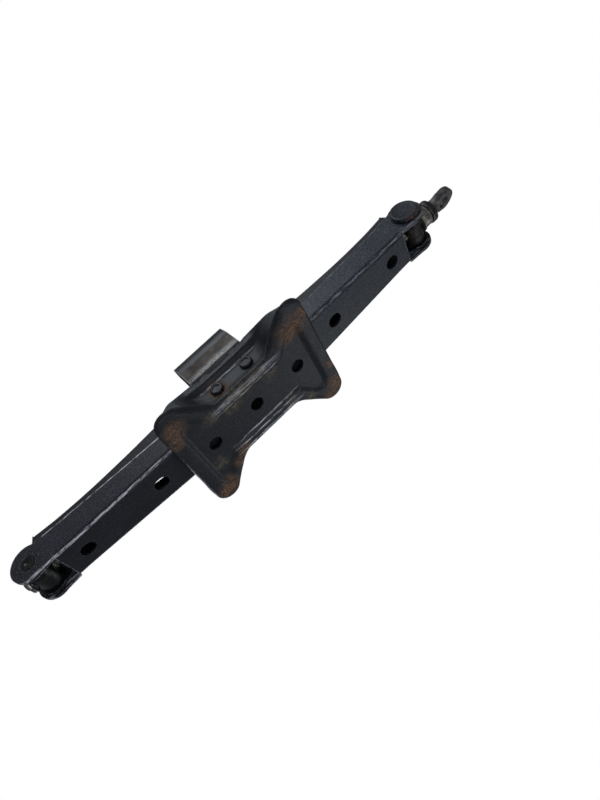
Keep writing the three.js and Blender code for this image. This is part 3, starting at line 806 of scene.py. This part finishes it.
def make_arms():
    """The left lower arm is more rubbed and greasier than the right one, with painted highlights in its
    grease;
    the right lower arm's paint is a lighter, bluer tint, a painted sheen that stands in for light on its web.
    """
    greasy = [((-END_X, 0, SCREW_Z), 19)]
    left_low = painted("lower_arm_left_paint", (0.020, 0.018, 0.026), flange_haze, 0.8, web_holes(-1),
                       lower_arm_bends(1.25, 1.0), grease=greasy)
    # painted sheen: a lighter, bluer tint than the left arm's, standing in for light on the right web
    right_low_sheen = painted("lower_arm_right_paint", (0.029, 0.033, 0.044), flange_haze, 0.45, web_holes(1),
                        lower_arm_bends(0.35, 0.15))
    up = painted("upper_arm_paint", (0.011, 0.011, 0.014), spots=[((0, 0, 45), 12)])
    for label, first_tooth, paint in (("left", -18, left_low), ("right", -9, right_low_sheen)):
        low_side, up_side = lower_profile(first_tooth), upper_profile(first_tooth)
        lower = arm_piece(low_side, LOWER, lower_web, 1, BASE_PIVOT_Z, BASE_SHANK, WEB_HOLES)
        upper = arm_piece(up_side, UPPER, upper_web, -1, SADDLE_PIVOT_Z, SADDLE_SHANK, [])
        for arm, obj, look in (("lower_arm", lower, paint), ("upper_arm", upper, up)):
            if label == "left":
                mirror_x(obj)
            place(obj, f"{arm}_{label}", f"{arm}_{label}", "arm_paint", look)


# ---- base ----
# Stations round a quarter of the base: the rim's x and y, then the free lip's x, y and z.
BASE_QUARTER = [
    (0, 30, 0, 27.8, 33.6), (12, 30, 12, 27.8, 34.2), (20, 30, 20, 27.8, 35.8), (26, 30.4, 27, 27.9, 38),
    (31, 34.4, 35, 29.2, 37.4), (39, 42.6, 43, 34, 32.6), (47, 50.6, 50.5, 41, 25),
    (52.5, 55.6, 56, 46.6, 16.2), (59, 57.4, 61.5, 50.2, 9.6), (65.6, 55.6, 66.4, 50.2, 6.6),
    (70, 50.4, 69.6, 46.8, 5.4), (71, 43, 70.6, 42, 5), (71, 22, 70.6, 22, 4.6), (71, 0, 70.6, 0, 4.6),
]
# Stations round a quarter of the raised panel: its edge's x and y, then x and y where its step meets the rim.
PANEL_QUARTER = [
    (0, 16, 0, 21), (12, 16, 12, 21), (21, 16, 20.5, 21), (29, 16.3, 27, 21.2), (35.5, 17.6, 32.6, 22.4),
    (39.5, 21.2, 36.4, 25.6), (44.5, 27.6, 41.4, 32), (48.8, 32.8, 45.8, 37.2), (52.2, 34.7, 51.4, 39.6),
    (54.8, 33.6, 57.2, 38.4), (55.9, 31, 60.2, 34), (56, 27, 60.8, 28.6), (56, 15, 60.8, 16),
    (56, 0, 60.8, 0),
]
PANEL_RISE = 2.2
PANEL_HOLES = [-43.6, 0, 43.6]
PANEL_HOLE_RADIUS = 5.8
RIM_BEND = 3.4
CORNER_BEND = 2.8     # how much larger the bend grows at the waist's corners
# Points (y, z) of the wall beside the waist, and how far up the plain wall each one is taken from.
WAIST_WALL = [(25.6, 7), (23.4, 11.2), (22.75, 15.2), (22.7, 20), (22.75, 24.4), (23.8, 27.5), (27.8, 30.6)]
WALL_SHARE = [0.18, 0.33, 0.44, 0.55, 0.65, 0.74, 0.84]
BASE_STEPS = 5        # columns between neighbouring stations
PANEL_STEPS, BEND_STEPS = 6, 6
FLAT_ROWS = range(PANEL_STEPS, PANEL_STEPS + 4)    # the points of a row on the rim's flat underside


def full_loop(quarter):
    """A quarter table mirrored round the whole base, counter-clockwise from the middle of the +X end."""
    def flip(rows, sx, sy):
        signs = (sx, sy, sx, sy, 1)
        return [tuple(v * sign for v, sign in zip(row, signs)) for row in rows]
    return [*reversed(quarter), *flip(quarter[1:], -1, 1), *flip(quarter[:-1][::-1], -1, -1),
            *flip(quarter[1:-1], 1, -1)]


def fine_loop(quarter, columns):
    """The loop's columns, each as a smooth closed curve."""
    loop = full_loop(quarter)
    return spline([[row[c] for c in columns] for row in loop], True, BASE_STEPS)


def rim_bend(x):
    """The radius of the fold between the rim and the wall, largest at the corners of the waist."""
    return RIM_BEND + CORNER_BEND * smoothstep((abs(x) - 24) / 9) * (1 - smoothstep((abs(x) - 40) / 16))


def wall_points(rim_point, lip_point, bend):
    """The wall from the fold up to the free lip; beside the waist it is drawn in towards the arms."""
    rx, ry = rim_point
    tx, ty, tz = lip_point
    waist = 0.0 if abs(ry) < 18 else 1 - smoothstep((abs(rx) - 22) / 24)
    stations = [Vector((rx, ry, bend))]
    for (wy, wz), share in zip(WAIST_WALL, WALL_SHARE):
        straight = Vector((rx + (tx - rx) * share, ry + (ty - ry) * share, bend + (tz - bend) * share))
        bent = Vector((rx + (tx - rx) * share, math.copysign(wy, ry), wz))
        stations.append(straight.lerp(bent, waist))
    stations.append(Vector((tx, ty, tz)))
    return spline(stations, False, 4)[1:]


def base_rows():
    """Points of the pressing's outer face: one row a station, from the panel's edge out to the free lip."""
    rim = fine_loop(BASE_QUARTER, (0, 1))
    lip = fine_loop(BASE_QUARTER, (2, 3, 4))
    panel = fine_loop(PANEL_QUARTER, (0, 1))
    flat = fine_loop(PANEL_QUARTER, (2, 3))
    rows = []
    for i in range(len(rim)):
        along = (rim[(i + 1) % len(rim)] - rim[i - 1]).normalized()
        out = Vector((along.y, -along.x))
        bend = rim_bend(rim[i].x)
        row = []
        for k in range(PANEL_STEPS + 1):
            t = k / PANEL_STEPS
            p = panel[i].lerp(flat[i], t)
            row.append((p.x, p.y, PANEL_RISE * (1 - smoothstep(t))))
        inner = rim[i] - out * bend
        for t in (0.35, 0.7):
            p = flat[i].lerp(inner, t)
            row.append((p.x, p.y, 0.0))
        for k in range(BEND_STEPS + 1):
            t = math.pi / 2 * k / BEND_STEPS
            p = rim[i] - out * bend * (1 - math.sin(t))
            row.append((p.x, p.y, bend * (1 - math.cos(t))))
        row += [tuple(p) for p in wall_points(rim[i], lip[i], bend)]
        rows.append(row)
    return rows


def sheet(name, rows, thickness):
    """A closed sheet: rows run round the panel, and each row runs from the panel's edge to the free lip."""
    n, m = len(rows), len(rows[0])
    grid = [[Vector(p) for p in row] for row in rows]

    def across(i, j):
        round_base = grid[(i + 1) % n][j] - grid[i - 1][j]
        towards_lip = grid[i][min(m - 1, j + 1)] - grid[i][max(0, j - 1)]
        return round_base.cross(towards_lip).normalized()

    facing = 1 if across(0, 3).z > 0 else -1

    def inward(i, j):
        """The panel's edge and the flat underside thicken straight up."""
        return Vector((0, 0, 1)) if j == 0 or j in FLAT_ROWS else across(i, j) * facing

    verts = [tuple(p) for row in grid for p in row]
    verts += [tuple(grid[i][j] + inward(i, j) * thickness) for i in range(n) for j in range(m)]
    inner = n * m
    faces = [[i * m for i in range(n)], [inner + i * m for i in reversed(range(n))]]
    for i in range(n):
        k = (i + 1) % n
        for j in range(m - 1):
            faces.append([i * m + j, i * m + j + 1, k * m + j + 1, k * m + j])
            faces.append([inner + i * m + j, inner + k * m + j, inner + k * m + j + 1, inner + i * m + j + 1])
        faces.append([i * m + m - 1, inner + i * m + m - 1, inner + k * m + m - 1, k * m + m - 1])
    return new_object(name, verts, faces)


def base_ridges_and_highlight(g):
    """Where the base is rubbed along the near and far folds of the waist, and a painted highlight along the
    fold under the lip.
    """
    along = g.size(g.sub(g.x, BASE_X))
    waist = g.ramp(along, 38, 27)
    low = g.mul(g.ramp(g.z, 3.4, 1.2), waist)
    near = g.mul(g.band(g.y, -25.4, 1.3, 2.0), low, 0.5)
    step = g.mul(g.band(g.y, -20.8, 0.3, 0.6), low, 0.6)
    lines = [g.band(g.y, *line) for line in ((17.0, 0.3, 0.6), (20.8, 0.35, 0.6), (26.5, 0.5, 1.2))]
    far = g.mul(g.top(*lines), low)
    # painted highlight: a bright line along the fold under the lip, standing in for light on that fold
    lip = g.mul(g.band(g.z, 26.9, 0.45, 0.6), g.ramp(along, 31, 22), 0.9)
    return g.top(near, step, far, lip)


BASE_RUST = [
    ((-60, -39, 4), 8.5), ((-65, -29, 0), 5.5), ((58, -37, 3), 9), ((50, -34, 1), 9),
    ((66, -40, 3), 6), ((65, 43, 2), 8), ((56, 51, 2), 6), ((-56, 45, 0), 8), ((-63, 48, 2), 6),
    ((-29, 27, 2), 6), ((-37, 33, 2), 6), ((68, 22, 1), 4), ((-15, -22.7, 20), 7.4),
]
BASE_DUST = [((-16, -18, 0), 8), ((-35, -23, 0), 7), ((22, -15, 2), 6), ((38, 36, 2), 6), ((0, -24, 0), 8),
             ((-12, -25, 0), 8), ((12, -25, 0), 7), ((-50, 20, 2), 6), ((24, 22, 1), 5)]


def make_base():
    obj = sheet("base", base_rows(), BASE_SHEET)
    cut_by(obj, *[prism("hole", "Z", circle(x, 0, PANEL_HOLE_RADIUS, 56), -5, 12) for x in PANEL_HOLES])
    cut_by(obj, *[pierce_y(x, BASE_PIVOT_Z, BASE_SHANK + GAP) for x in (-PIVOT_X, PIVOT_X)])
    rounded(obj, 0.4, 2, 50, 9)
    holes = [((x, 0, PANEL_RISE), 8.5) for x in PANEL_HOLES]
    paint = painted("base_paint_worn_and_highlight", (0.017, 0.0175, 0.021), edge_wear=0.6, calm=holes, bends=base_ridges_and_highlight,
                    spots=BASE_RUST, dust=BASE_DUST)
    place(obj, "base_plate", "base", "base_paint", paint)


# ---- saddle ----
CREST_Y, CREST_RADIUS = 13.6, 5.8
CREST_Z = SADDLE_TOP - CREST_RADIUS


def saddle_section():
    """The bent strip's section in (y, z): its outer face from foot to foot, then its inner face."""
    wall = [(SADDLE_OUT, z) for z in (SADDLE_BOTTOM, 36, 42, 48, 54, 59)] + [
        (SADDLE_OUT - 0.35, 64), (SADDLE_OUT - 1.3, 68.5)]
    crest = arc(CREST_Y, CREST_Z, CREST_RADIUS, 12, 160, 16)
    half = [*wall, *crest, (5.9, 67.6), (3.6, 64.1), (0, 63)]
    path = half + [(-y, z) for y, z in reversed(half[:-1])]
    path = [tuple(p) for p in spline([Vector(p) for p in path], False, 3)]
    inner = []
    for i, (y, z) in enumerate(path):
        before, after = path[max(0, i - 1)], path[min(len(path) - 1, i + 1)]
        d = Vector((after[0] - before[0], after[1] - before[1])).normalized()
        inner.append((y - d.y * SADDLE_SHEET, z + d.x * SADDLE_SHEET))
    return path + inner[::-1]


def make_saddle():
    obj = prism("saddle", "X", saddle_section(), -SADDLE_HALF, SADDLE_HALF)
    cut_by(obj, *[pierce_y(x, SADDLE_PIVOT_Z, SADDLE_SHANK + GAP) for x in (-PIVOT_X, PIVOT_X)])
    rounded(obj, 0.5)
    place(obj, "saddle", "saddle", "saddle_steel", saddle_steel("saddle_worn_sheen_and_shadow"))


# ---- rivets, trunnions and screw train ----
def base_rivet(end, top):
    """The (radius, height) profile of a base rivet, with a raised rim round its sunk head."""
    seat = top - 2.3
    return [(0, end), (BASE_SHANK - 0.3, end), (BASE_SHANK, end + 0.3), (BASE_SHANK, seat), (5.6, seat),
            (5.75, seat + 0.5), (5.65, seat + 1.2), (5.1, top - 0.3), (4.5, top - 0.02), (3.7, top),
            (3.3, top - 0.35), (3.0, top - 1.1), (1.2, top - 1.25), (0, top - 1.3)]


def saddle_rivet(end, top):
    seat = top - 1.6
    return [(0, end), (3.9, end), (4.8, end + 0.7), (5.0, end + 1.6), (SADDLE_SHANK, end + 1.6),
            (SADDLE_SHANK, seat), (4.7, seat), (4.8, seat + 0.5), (4.3, top - 0.3), (3.2, top), (0, top)]


def make_rivets():
    black = painted("rivet_black_worn", (0.02, 0.019, 0.02), 0.7, 0.7)
    kinds = (("base", BASE_PIVOT_Z, base_rivet), ("saddle", SADDLE_PIVOT_Z, saddle_rivet))
    for where, side in (("near", -1), ("far", 1)):
        for label, x in (("left", -PIVOT_X), ("right", PIVOT_X)):
            for body, z, shape in kinds:
                node = f"{body}_rivet_{where}_{label}"
                end, top = sorted(abs(corner.y) for corner in size_of(node))
                obj = lathe("rivet", [(r, side * h) for r, h in shape(end, top)], "Y", (x, 0, z))
                place(rounded(obj, 0), node, body, "rivet_black", black)


TRUNNION_BODY, TRUNNION_HALF, TRUNNION_FLAT, SCREW_BORE = 10.8, 11.2, 9.5, 6.35


def trunnion(node, side, material, peened):
    """A cross pin whose barrel carries the screw; a peened one has a dimple in each end."""
    near, far = size_of(node)
    near_end, far_end = -near.y, far.y
    body, half = TRUNNION_BODY, TRUNNION_HALF
    profile = [(0, -near_end), (JOURNAL - 0.9, -near_end), (JOURNAL, -near_end + 0.9), (JOURNAL, -half),
               (body - 0.6, -half), (body, -half + 0.6), (body, half - 0.6), (body - 0.6, half),
               (JOURNAL, half), (JOURNAL, far_end - 0.9), (JOURNAL - 0.9, far_end), (0, far_end)]
    x = side * END_X
    obj = lathe("trunnion", profile, "Y", (x, 0, SCREW_Z))
    cut_by(obj, drill(SCREW_BORE, "X", (x, 0, SCREW_Z)))
    flat, beyond = x + side * TRUNNION_FLAT, x + side * (TRUNNION_FLAT + 20)
    corners = [(flat, -REACH), (beyond, -REACH), (beyond, REACH), (flat, REACH)]
    cut_by(obj, prism("block", "Z", corners, SCREW_Z - REACH, SCREW_Z + REACH))
    if peened:
        for y in (-1, 1):
            cone = [(0, y * (far_end + 1)), (3.3, y * (far_end + 1)), (2.6, y * (far_end - 0.05)),
                    (0.5, y * (far_end - 1.1)), (0, y * (far_end - 1.15))]
            cut_by(obj, lathe("dimple", cone, "Y", (x, 0, SCREW_Z), 40))
    place(rounded(obj, 0.3), node, node, "trunnion_steel", material)


def make_head_disc():
    """The pressed disc on the near end of the right trunnion, with a rolled edge and rust stains below."""
    low, high = size_of("trunnion_head_disc")
    outer, seat = low.y, high.y
    radius = (high.z - low.z) / 2
    profile = [(0, seat), (radius - 0.9, seat), (radius - 0.2, seat - 0.5), (radius, seat - 1.2),
               (radius, outer + 1.3), (radius - 0.4, outer + 0.5), (radius - 1.3, outer + 0.1),
               (radius - 2.2, outer), (radius - 3.2, outer + 0.25), (5, outer + 0.42), (0, outer + 0.45)]
    disc = rounded(lathe("disc", profile, "Y", (END_X, 0, SCREW_Z)), 0)
    stains = [((x, seat, z), 3.0) for x, z in arc(END_X, SCREW_Z, radius, -115, 0, 6)]
    paint = painted("disc_paint", (0.024, 0.027, 0.035), edge_wear=0.5, spots=stains)
    place(disc, "trunnion_head_disc", "bearing_trunnion", "rivet_black", paint)


def make_trunnions():
    oily = bare_steel("trunnion_oily", (0.010, 0.010, 0.010), (0.036, 0.034, 0.032), (0.30, 0.5), 0.08,
                      0.95, 0.9, "Y")
    dull = bare_steel("trunnion_dull", (0.012, 0.011, 0.011), (0.046, 0.041, 0.036), (0.35, 0.6), 0.18,
                      0.6, streaks="Y")
    trunnion("threaded_trunnion", -1, oily, True)
    trunnion("bearing_trunnion", 1, dull, False)
    make_head_disc()


def ring_piece(node, edge, body, slot, material, cutter=None):
    """A turned ring on the screw that fills its CAD node's box, pierced by a cutter if there is one."""
    low, high = size_of(node)
    inner, outer = SCREW_BORE, (high.z - low.z) / 2
    shoulder = edge * 0.3
    half = [(inner, 0.3), (inner + 0.3, 0), (outer - edge, 0), (outer - shoulder, shoulder), (outer, edge)]
    obj = lathe(node, both_ends(half, low.x, high.x), "X", (0, 0, SCREW_Z))
    if cutter:
        cut_by(obj, cutter)
    place(rounded(obj, 0), node, body, slot, material)


def thread_ridge(start, end, core, crest, pitch):
    """A right-hand trapezoidal ridge wound on the core, fading in and out over a turn at its ends."""
    per_turn = 28
    count = int((end - start) / pitch * per_turn)
    rings = []
    for i in range(count + 1):
        t = 2 * math.pi * i / per_turn
        x = start + pitch * i / per_turn
        height = core + (crest - core) * min(1.0, (i + 1) / per_turn, (count + 1 - i) / per_turn)
        section = [(-0.95, core - 0.35), (-0.95, core + 0.02), (-0.50, height), (0.50, height),
                   (0.95, core + 0.02), (0.95, core - 0.35)]
        rings.append([(x + dx, -r * math.sin(t), SCREW_Z + r * math.cos(t)) for dx, r in section])
    return loft("thread", rings)


def make_lead_screw(steel):
    """The screw's core and plain shoulder, with the thread as a second shell."""
    low, high = size_of("lead_screw")
    plain = 178.0
    profile = [(0, low.x), (3.6, low.x), (SCREW_CORE, low.x + 1.1), (SCREW_CORE, plain),
               (SCREW_RADIUS, plain + 1.6), (SCREW_RADIUS, high.x - 0.4), (SCREW_RADIUS - 0.4, high.x),
               (0, high.x)]
    obj = rounded(lathe("screw", profile, "X", (0, 0, SCREW_Z), 56), 0)
    ridge = thread_ridge(low.x + 1.4, plain - 1.5, SCREW_CORE, SCREW_RADIUS, SCREW_PITCH)
    place(join(obj, rounded(ridge, 0)), "lead_screw", "screw", "screw_steel", steel)


PIN_HOLE_RADIUS = 1.8


def make_collar(steel):
    """The collar at the eye's end and the roll pin that holds it."""
    low, high = size_of("collar_pin")
    middle = (low.x + high.x) / 2
    greasy = bare_steel("collar_greasy", (0.022, 0.022, 0.023), (0.085, 0.080, 0.076), (0.28, 0.5), 0.2,
                        0.8, 0.6)
    hole = drill(PIN_HOLE_RADIUS, "Z", (middle, 0, SCREW_Z), 32)
    ring_piece("screw_collar", 0.9, "screw", "collar_black", greasy, hole)
    half, r = (high.z - low.z) / 2, (high.x - low.x) / 2
    profile = both_ends([(0.7, 0.5), (0.8, 0), (r - 0.35, 0), (r, 0.4)], -half, half)
    pin = rounded(lathe("pin", profile, "Z", (middle, 0, SCREW_Z), 32), 0)
    place(pin, "collar_pin", "screw", "screw_steel", steel)


def make_screw():
    steel = bare_steel("screw_oiled", (0.035, 0.031, 0.027), (0.17, 0.155, 0.135), (0.25, 0.45), 0.2, 0.8,
                       0.8, clean=[((SCREW_TIP, 0, SCREW_Z), 2.6)])
    bush = bare_steel("bush_bare", (0.17, 0.15, 0.125), (0.38, 0.34, 0.29), (0.40, 0.58), 0.22, 0.4)
    scuffed = bare_steel("stop_scuffed", (0.06, 0.057, 0.053), (0.62, 0.60, 0.57), (0.22, 0.45), 0.05, 0.25)
    make_lead_screw(steel)
    ring_piece("thrust_washer", 0.3, "bearing_trunnion", "bush_steel", bush)
    ring_piece("thrust_bush", 0.5, "bearing_trunnion", "bush_steel", bush)
    ring_piece("screw_end_stop", 0.5, "screw", "screw_steel", scuffed)
    make_collar(steel)


EYE_TURN = math.radians(18)
EYE_ROUND, EYE_HOLE_FROM_TIP, EYE_HOLE_RADIUS = 10.2, 12.2, 5.6


def eye_rings(start):
    """Forged from a round neck into a flat rounded tab: x, half width, half thickness and squareness."""
    neck = [(start, 6.2, 6.2, 2.0), (start + 0.5, 6.6, 6.6, 2.0), (start + 2.2, 6.6, 6.4, 2.0),
            (start + 3.9, 6.8, 5.9, 2.2), (start + 5.7, 7.6, 4.9, 3.0), (start + 7.7, 8.7, 4.2, 5.0),
            (start + 9.4, 9.4, 3.9, 7.0)]
    rings = [Vector(row) for row in neck]
    centre = EYE_TIP - EYE_ROUND
    for k in range(15):
        t = math.radians(-30 + 119.2 * (k + 1) / 15)
        x = centre + EYE_ROUND * math.sin(t)
        width = EYE_ROUND * math.cos(t)
        thin = 3.8 - 0.7 * smoothstep((x - centre) / EYE_ROUND)
        rings.append(Vector((x, width, min(thin, 0.6 + width * 1.4), 7.5 - 4.5 * smoothstep((k - 9) / 5))))
    return rings


def make_eye():
    start = size_of("screw_eye")[0].x
    count = 40
    rings = []
    for x, wide, thick, square in spline([tuple(r) for r in eye_rings(start)], False, 2):
        ring = []
        for i in range(count):
            t = 2 * math.pi * i / count
            c, s = math.cos(t), math.sin(t)
            y = wide * math.copysign(abs(c) ** (2 / square), c)
            z = thick * math.copysign(abs(s) ** (2 / square), s)
            ring.append((x, y * math.cos(EYE_TURN) - z * math.sin(EYE_TURN),
                         SCREW_Z + y * math.sin(EYE_TURN) + z * math.cos(EYE_TURN)))
        rings.append(ring)
    obj = loft("eye", rings)
    bore = drill(EYE_HOLE_RADIUS, "Z", (0, 0, 0), 56, 12)
    centre = Vector(((EYE_TIP - EYE_HOLE_FROM_TIP + BASE_X) * MM, 0, SCREW_Z * MM))
    bore.data.transform(Matrix.Translation((-BASE_X * MM, 0, 0)))
    bore.data.transform(Matrix.Translation(centre) @ Matrix.Rotation(EYE_TURN, 4, "X"))
    cut_by(obj, bore)
    dark = bare_steel("eye_forged", (0.065, 0.060, 0.060), (0.190, 0.175, 0.170), (0.42, 0.62), 0.35, 0.3)
    place(rounded(obj, 0.6, 3, 50), "screw_eye", "screw", "eye_steel", dark)


# ---- stage ----
WHITE = (1.0, 1.0, 1.0)
FLOOR_HALF = 3.0            # metres
FLOOR_COLOUR, FLOOR_GLOW = (0.32, 0.30, 0.28), 0.62
FLOOR_FADE = (0.30, 1.30)   # metres from the origin where the floor starts and ends its fading
SKY_COLOUR, SKY_STRENGTH = (0.84, 0.92, 1.0), 0.24
LIGHT_COLOUR = (0.87, 0.93, 1.0)
MIDDLE = (0, 0, 30)
LIGHTS = [  # name, place and target in jack millimetres, width in metres, watts, seen in reflections
    ("key", (180, -840, 700), MIDDLE, 0.7, 4.1, True),
    ("sheen", (450, 700, -750), (90, 0, 10), 0.6, 1.35, True),
    ("under", (-100, -350, -1000), MIDDLE, 0.8, 2.35, True),
    ("top", (200, 100, 1100), MIDDLE, 1.0, 8, False),
    ("back", (-400, 900, 450), MIDDLE, 0.7, 4, True),
]
CAMERA_PLACE = (-62.7, -355.2, -340.1)
CAMERA_RIGHT, CAMERA_UP = (0.7089, 0.3644, -0.6039), (0.6826, -0.5699, 0.4574)
CAMERA_LENS, CAMERA_FILM = 29.0, 36.0


def stage_place(place):
    """A place in jack millimetres, in metres in the row frame."""
    return (Vector(place) + Vector((BASE_X, 0, 0))) * MM


def floor_material():
    """Pale from above, clear from below, and melting into the backdrop with distance."""
    material = bpy.data.materials.new("floor_pale")
    nodes = Nodes(material)
    lit = nodes.make("BsdfDiffuse", {"Color": FLOOR_COLOUR}).outputs[0]
    glow = nodes.make("Emission", {"Color": WHITE, "Strength": FLOOR_GLOW}).outputs[0]
    pale = nodes.make("AddShader", {0: lit, 1: glow}).outputs[0]
    clear = nodes.make("BsdfTransparent").outputs[0]
    place = nodes.make("TexCoord").outputs["Object"]
    away = nodes.make("VectorMath", {0: place}, operation="LENGTH").outputs["Value"]
    below = nodes.make("NewGeometry").outputs["Backfacing"]
    unseen = nodes.math("MAXIMUM", below, nodes.ramp(away, *FLOOR_FADE))
    look = nodes.make("MixShader", {0: unseen, 1: pale, 2: clear}).outputs[0]
    nodes.make("OutputMaterial", {"Surface": look})
    return material


def make_floor():
    """A floor that only the camera sees."""
    corners = [(x * FLOOR_HALF, y * FLOOR_HALF, 0) for x, y in ((-1, -1), (1, -1), (1, 1), (-1, 1))]
    mesh = bpy.data.meshes.new("floor")
    mesh.from_pydata(corners, [], [[0, 1, 2, 3]])
    mesh.materials.append(floor_material())
    floor = bpy.data.objects.new("floor", mesh)
    scene.collection.objects.link(floor)
    for ray in ("shadow", "diffuse", "glossy", "transmission"):
        setattr(floor, "visible_" + ray, False)


def make_world():
    """White to the camera, and a faint cold sky as a light."""
    scene.world = bpy.data.worlds.new("studio")
    nodes = Nodes(scene.world)
    sky = nodes.make("Background", {"Color": SKY_COLOUR, "Strength": SKY_STRENGTH}).outputs[0]
    white = nodes.make("Background", {"Color": WHITE}).outputs[0]
    seen = nodes.make("LightPath").outputs["Is Camera Ray"]
    look = nodes.make("MixShader", {0: seen, 1: sky, 2: white}).outputs[0]
    nodes.make("OutputWorld", {"Surface": look})


def area_light(name, place, target, width, power, shiny):
    light = bpy.data.lights.new(name, "AREA")
    light.shape = "DISK"
    light.size = width
    light.energy = power
    light.color = LIGHT_COLOUR
    obj = bpy.data.objects.new(name, light)
    start = stage_place(place)
    obj.location = start
    obj.visible_glossy = shiny
    obj.rotation_euler = (stage_place(target) - start).to_track_quat("-Z", "Y").to_euler()
    scene.collection.objects.link(obj)


def make_camera():
    """Below and in front of the jack, so that it shows its underside and its near side, screw end upwards."""
    camera = bpy.data.objects.new("camera", bpy.data.cameras.new("camera"))
    right = Vector(CAMERA_RIGHT).normalized()
    back = right.cross(Vector(CAMERA_UP)).normalized()
    turn = Matrix((right, back.cross(right), back)).transposed().to_4x4()
    turn.translation = stage_place(CAMERA_PLACE)
    camera.matrix_world = turn
    camera.data.sensor_fit = "VERTICAL"
    camera.data.sensor_height = CAMERA_FILM
    camera.data.lens = CAMERA_LENS
    camera.data.clip_start = 0.01
    scene.collection.objects.link(camera)
    scene.camera = camera


scene.view_settings.view_transform = "Standard"
make_camera()
make_world()
for light_row in LIGHTS:
    area_light(*light_row)
make_floor()
make_base()
make_arms()
make_saddle()
make_rivets()
make_trunnions()
make_screw()
make_eye()
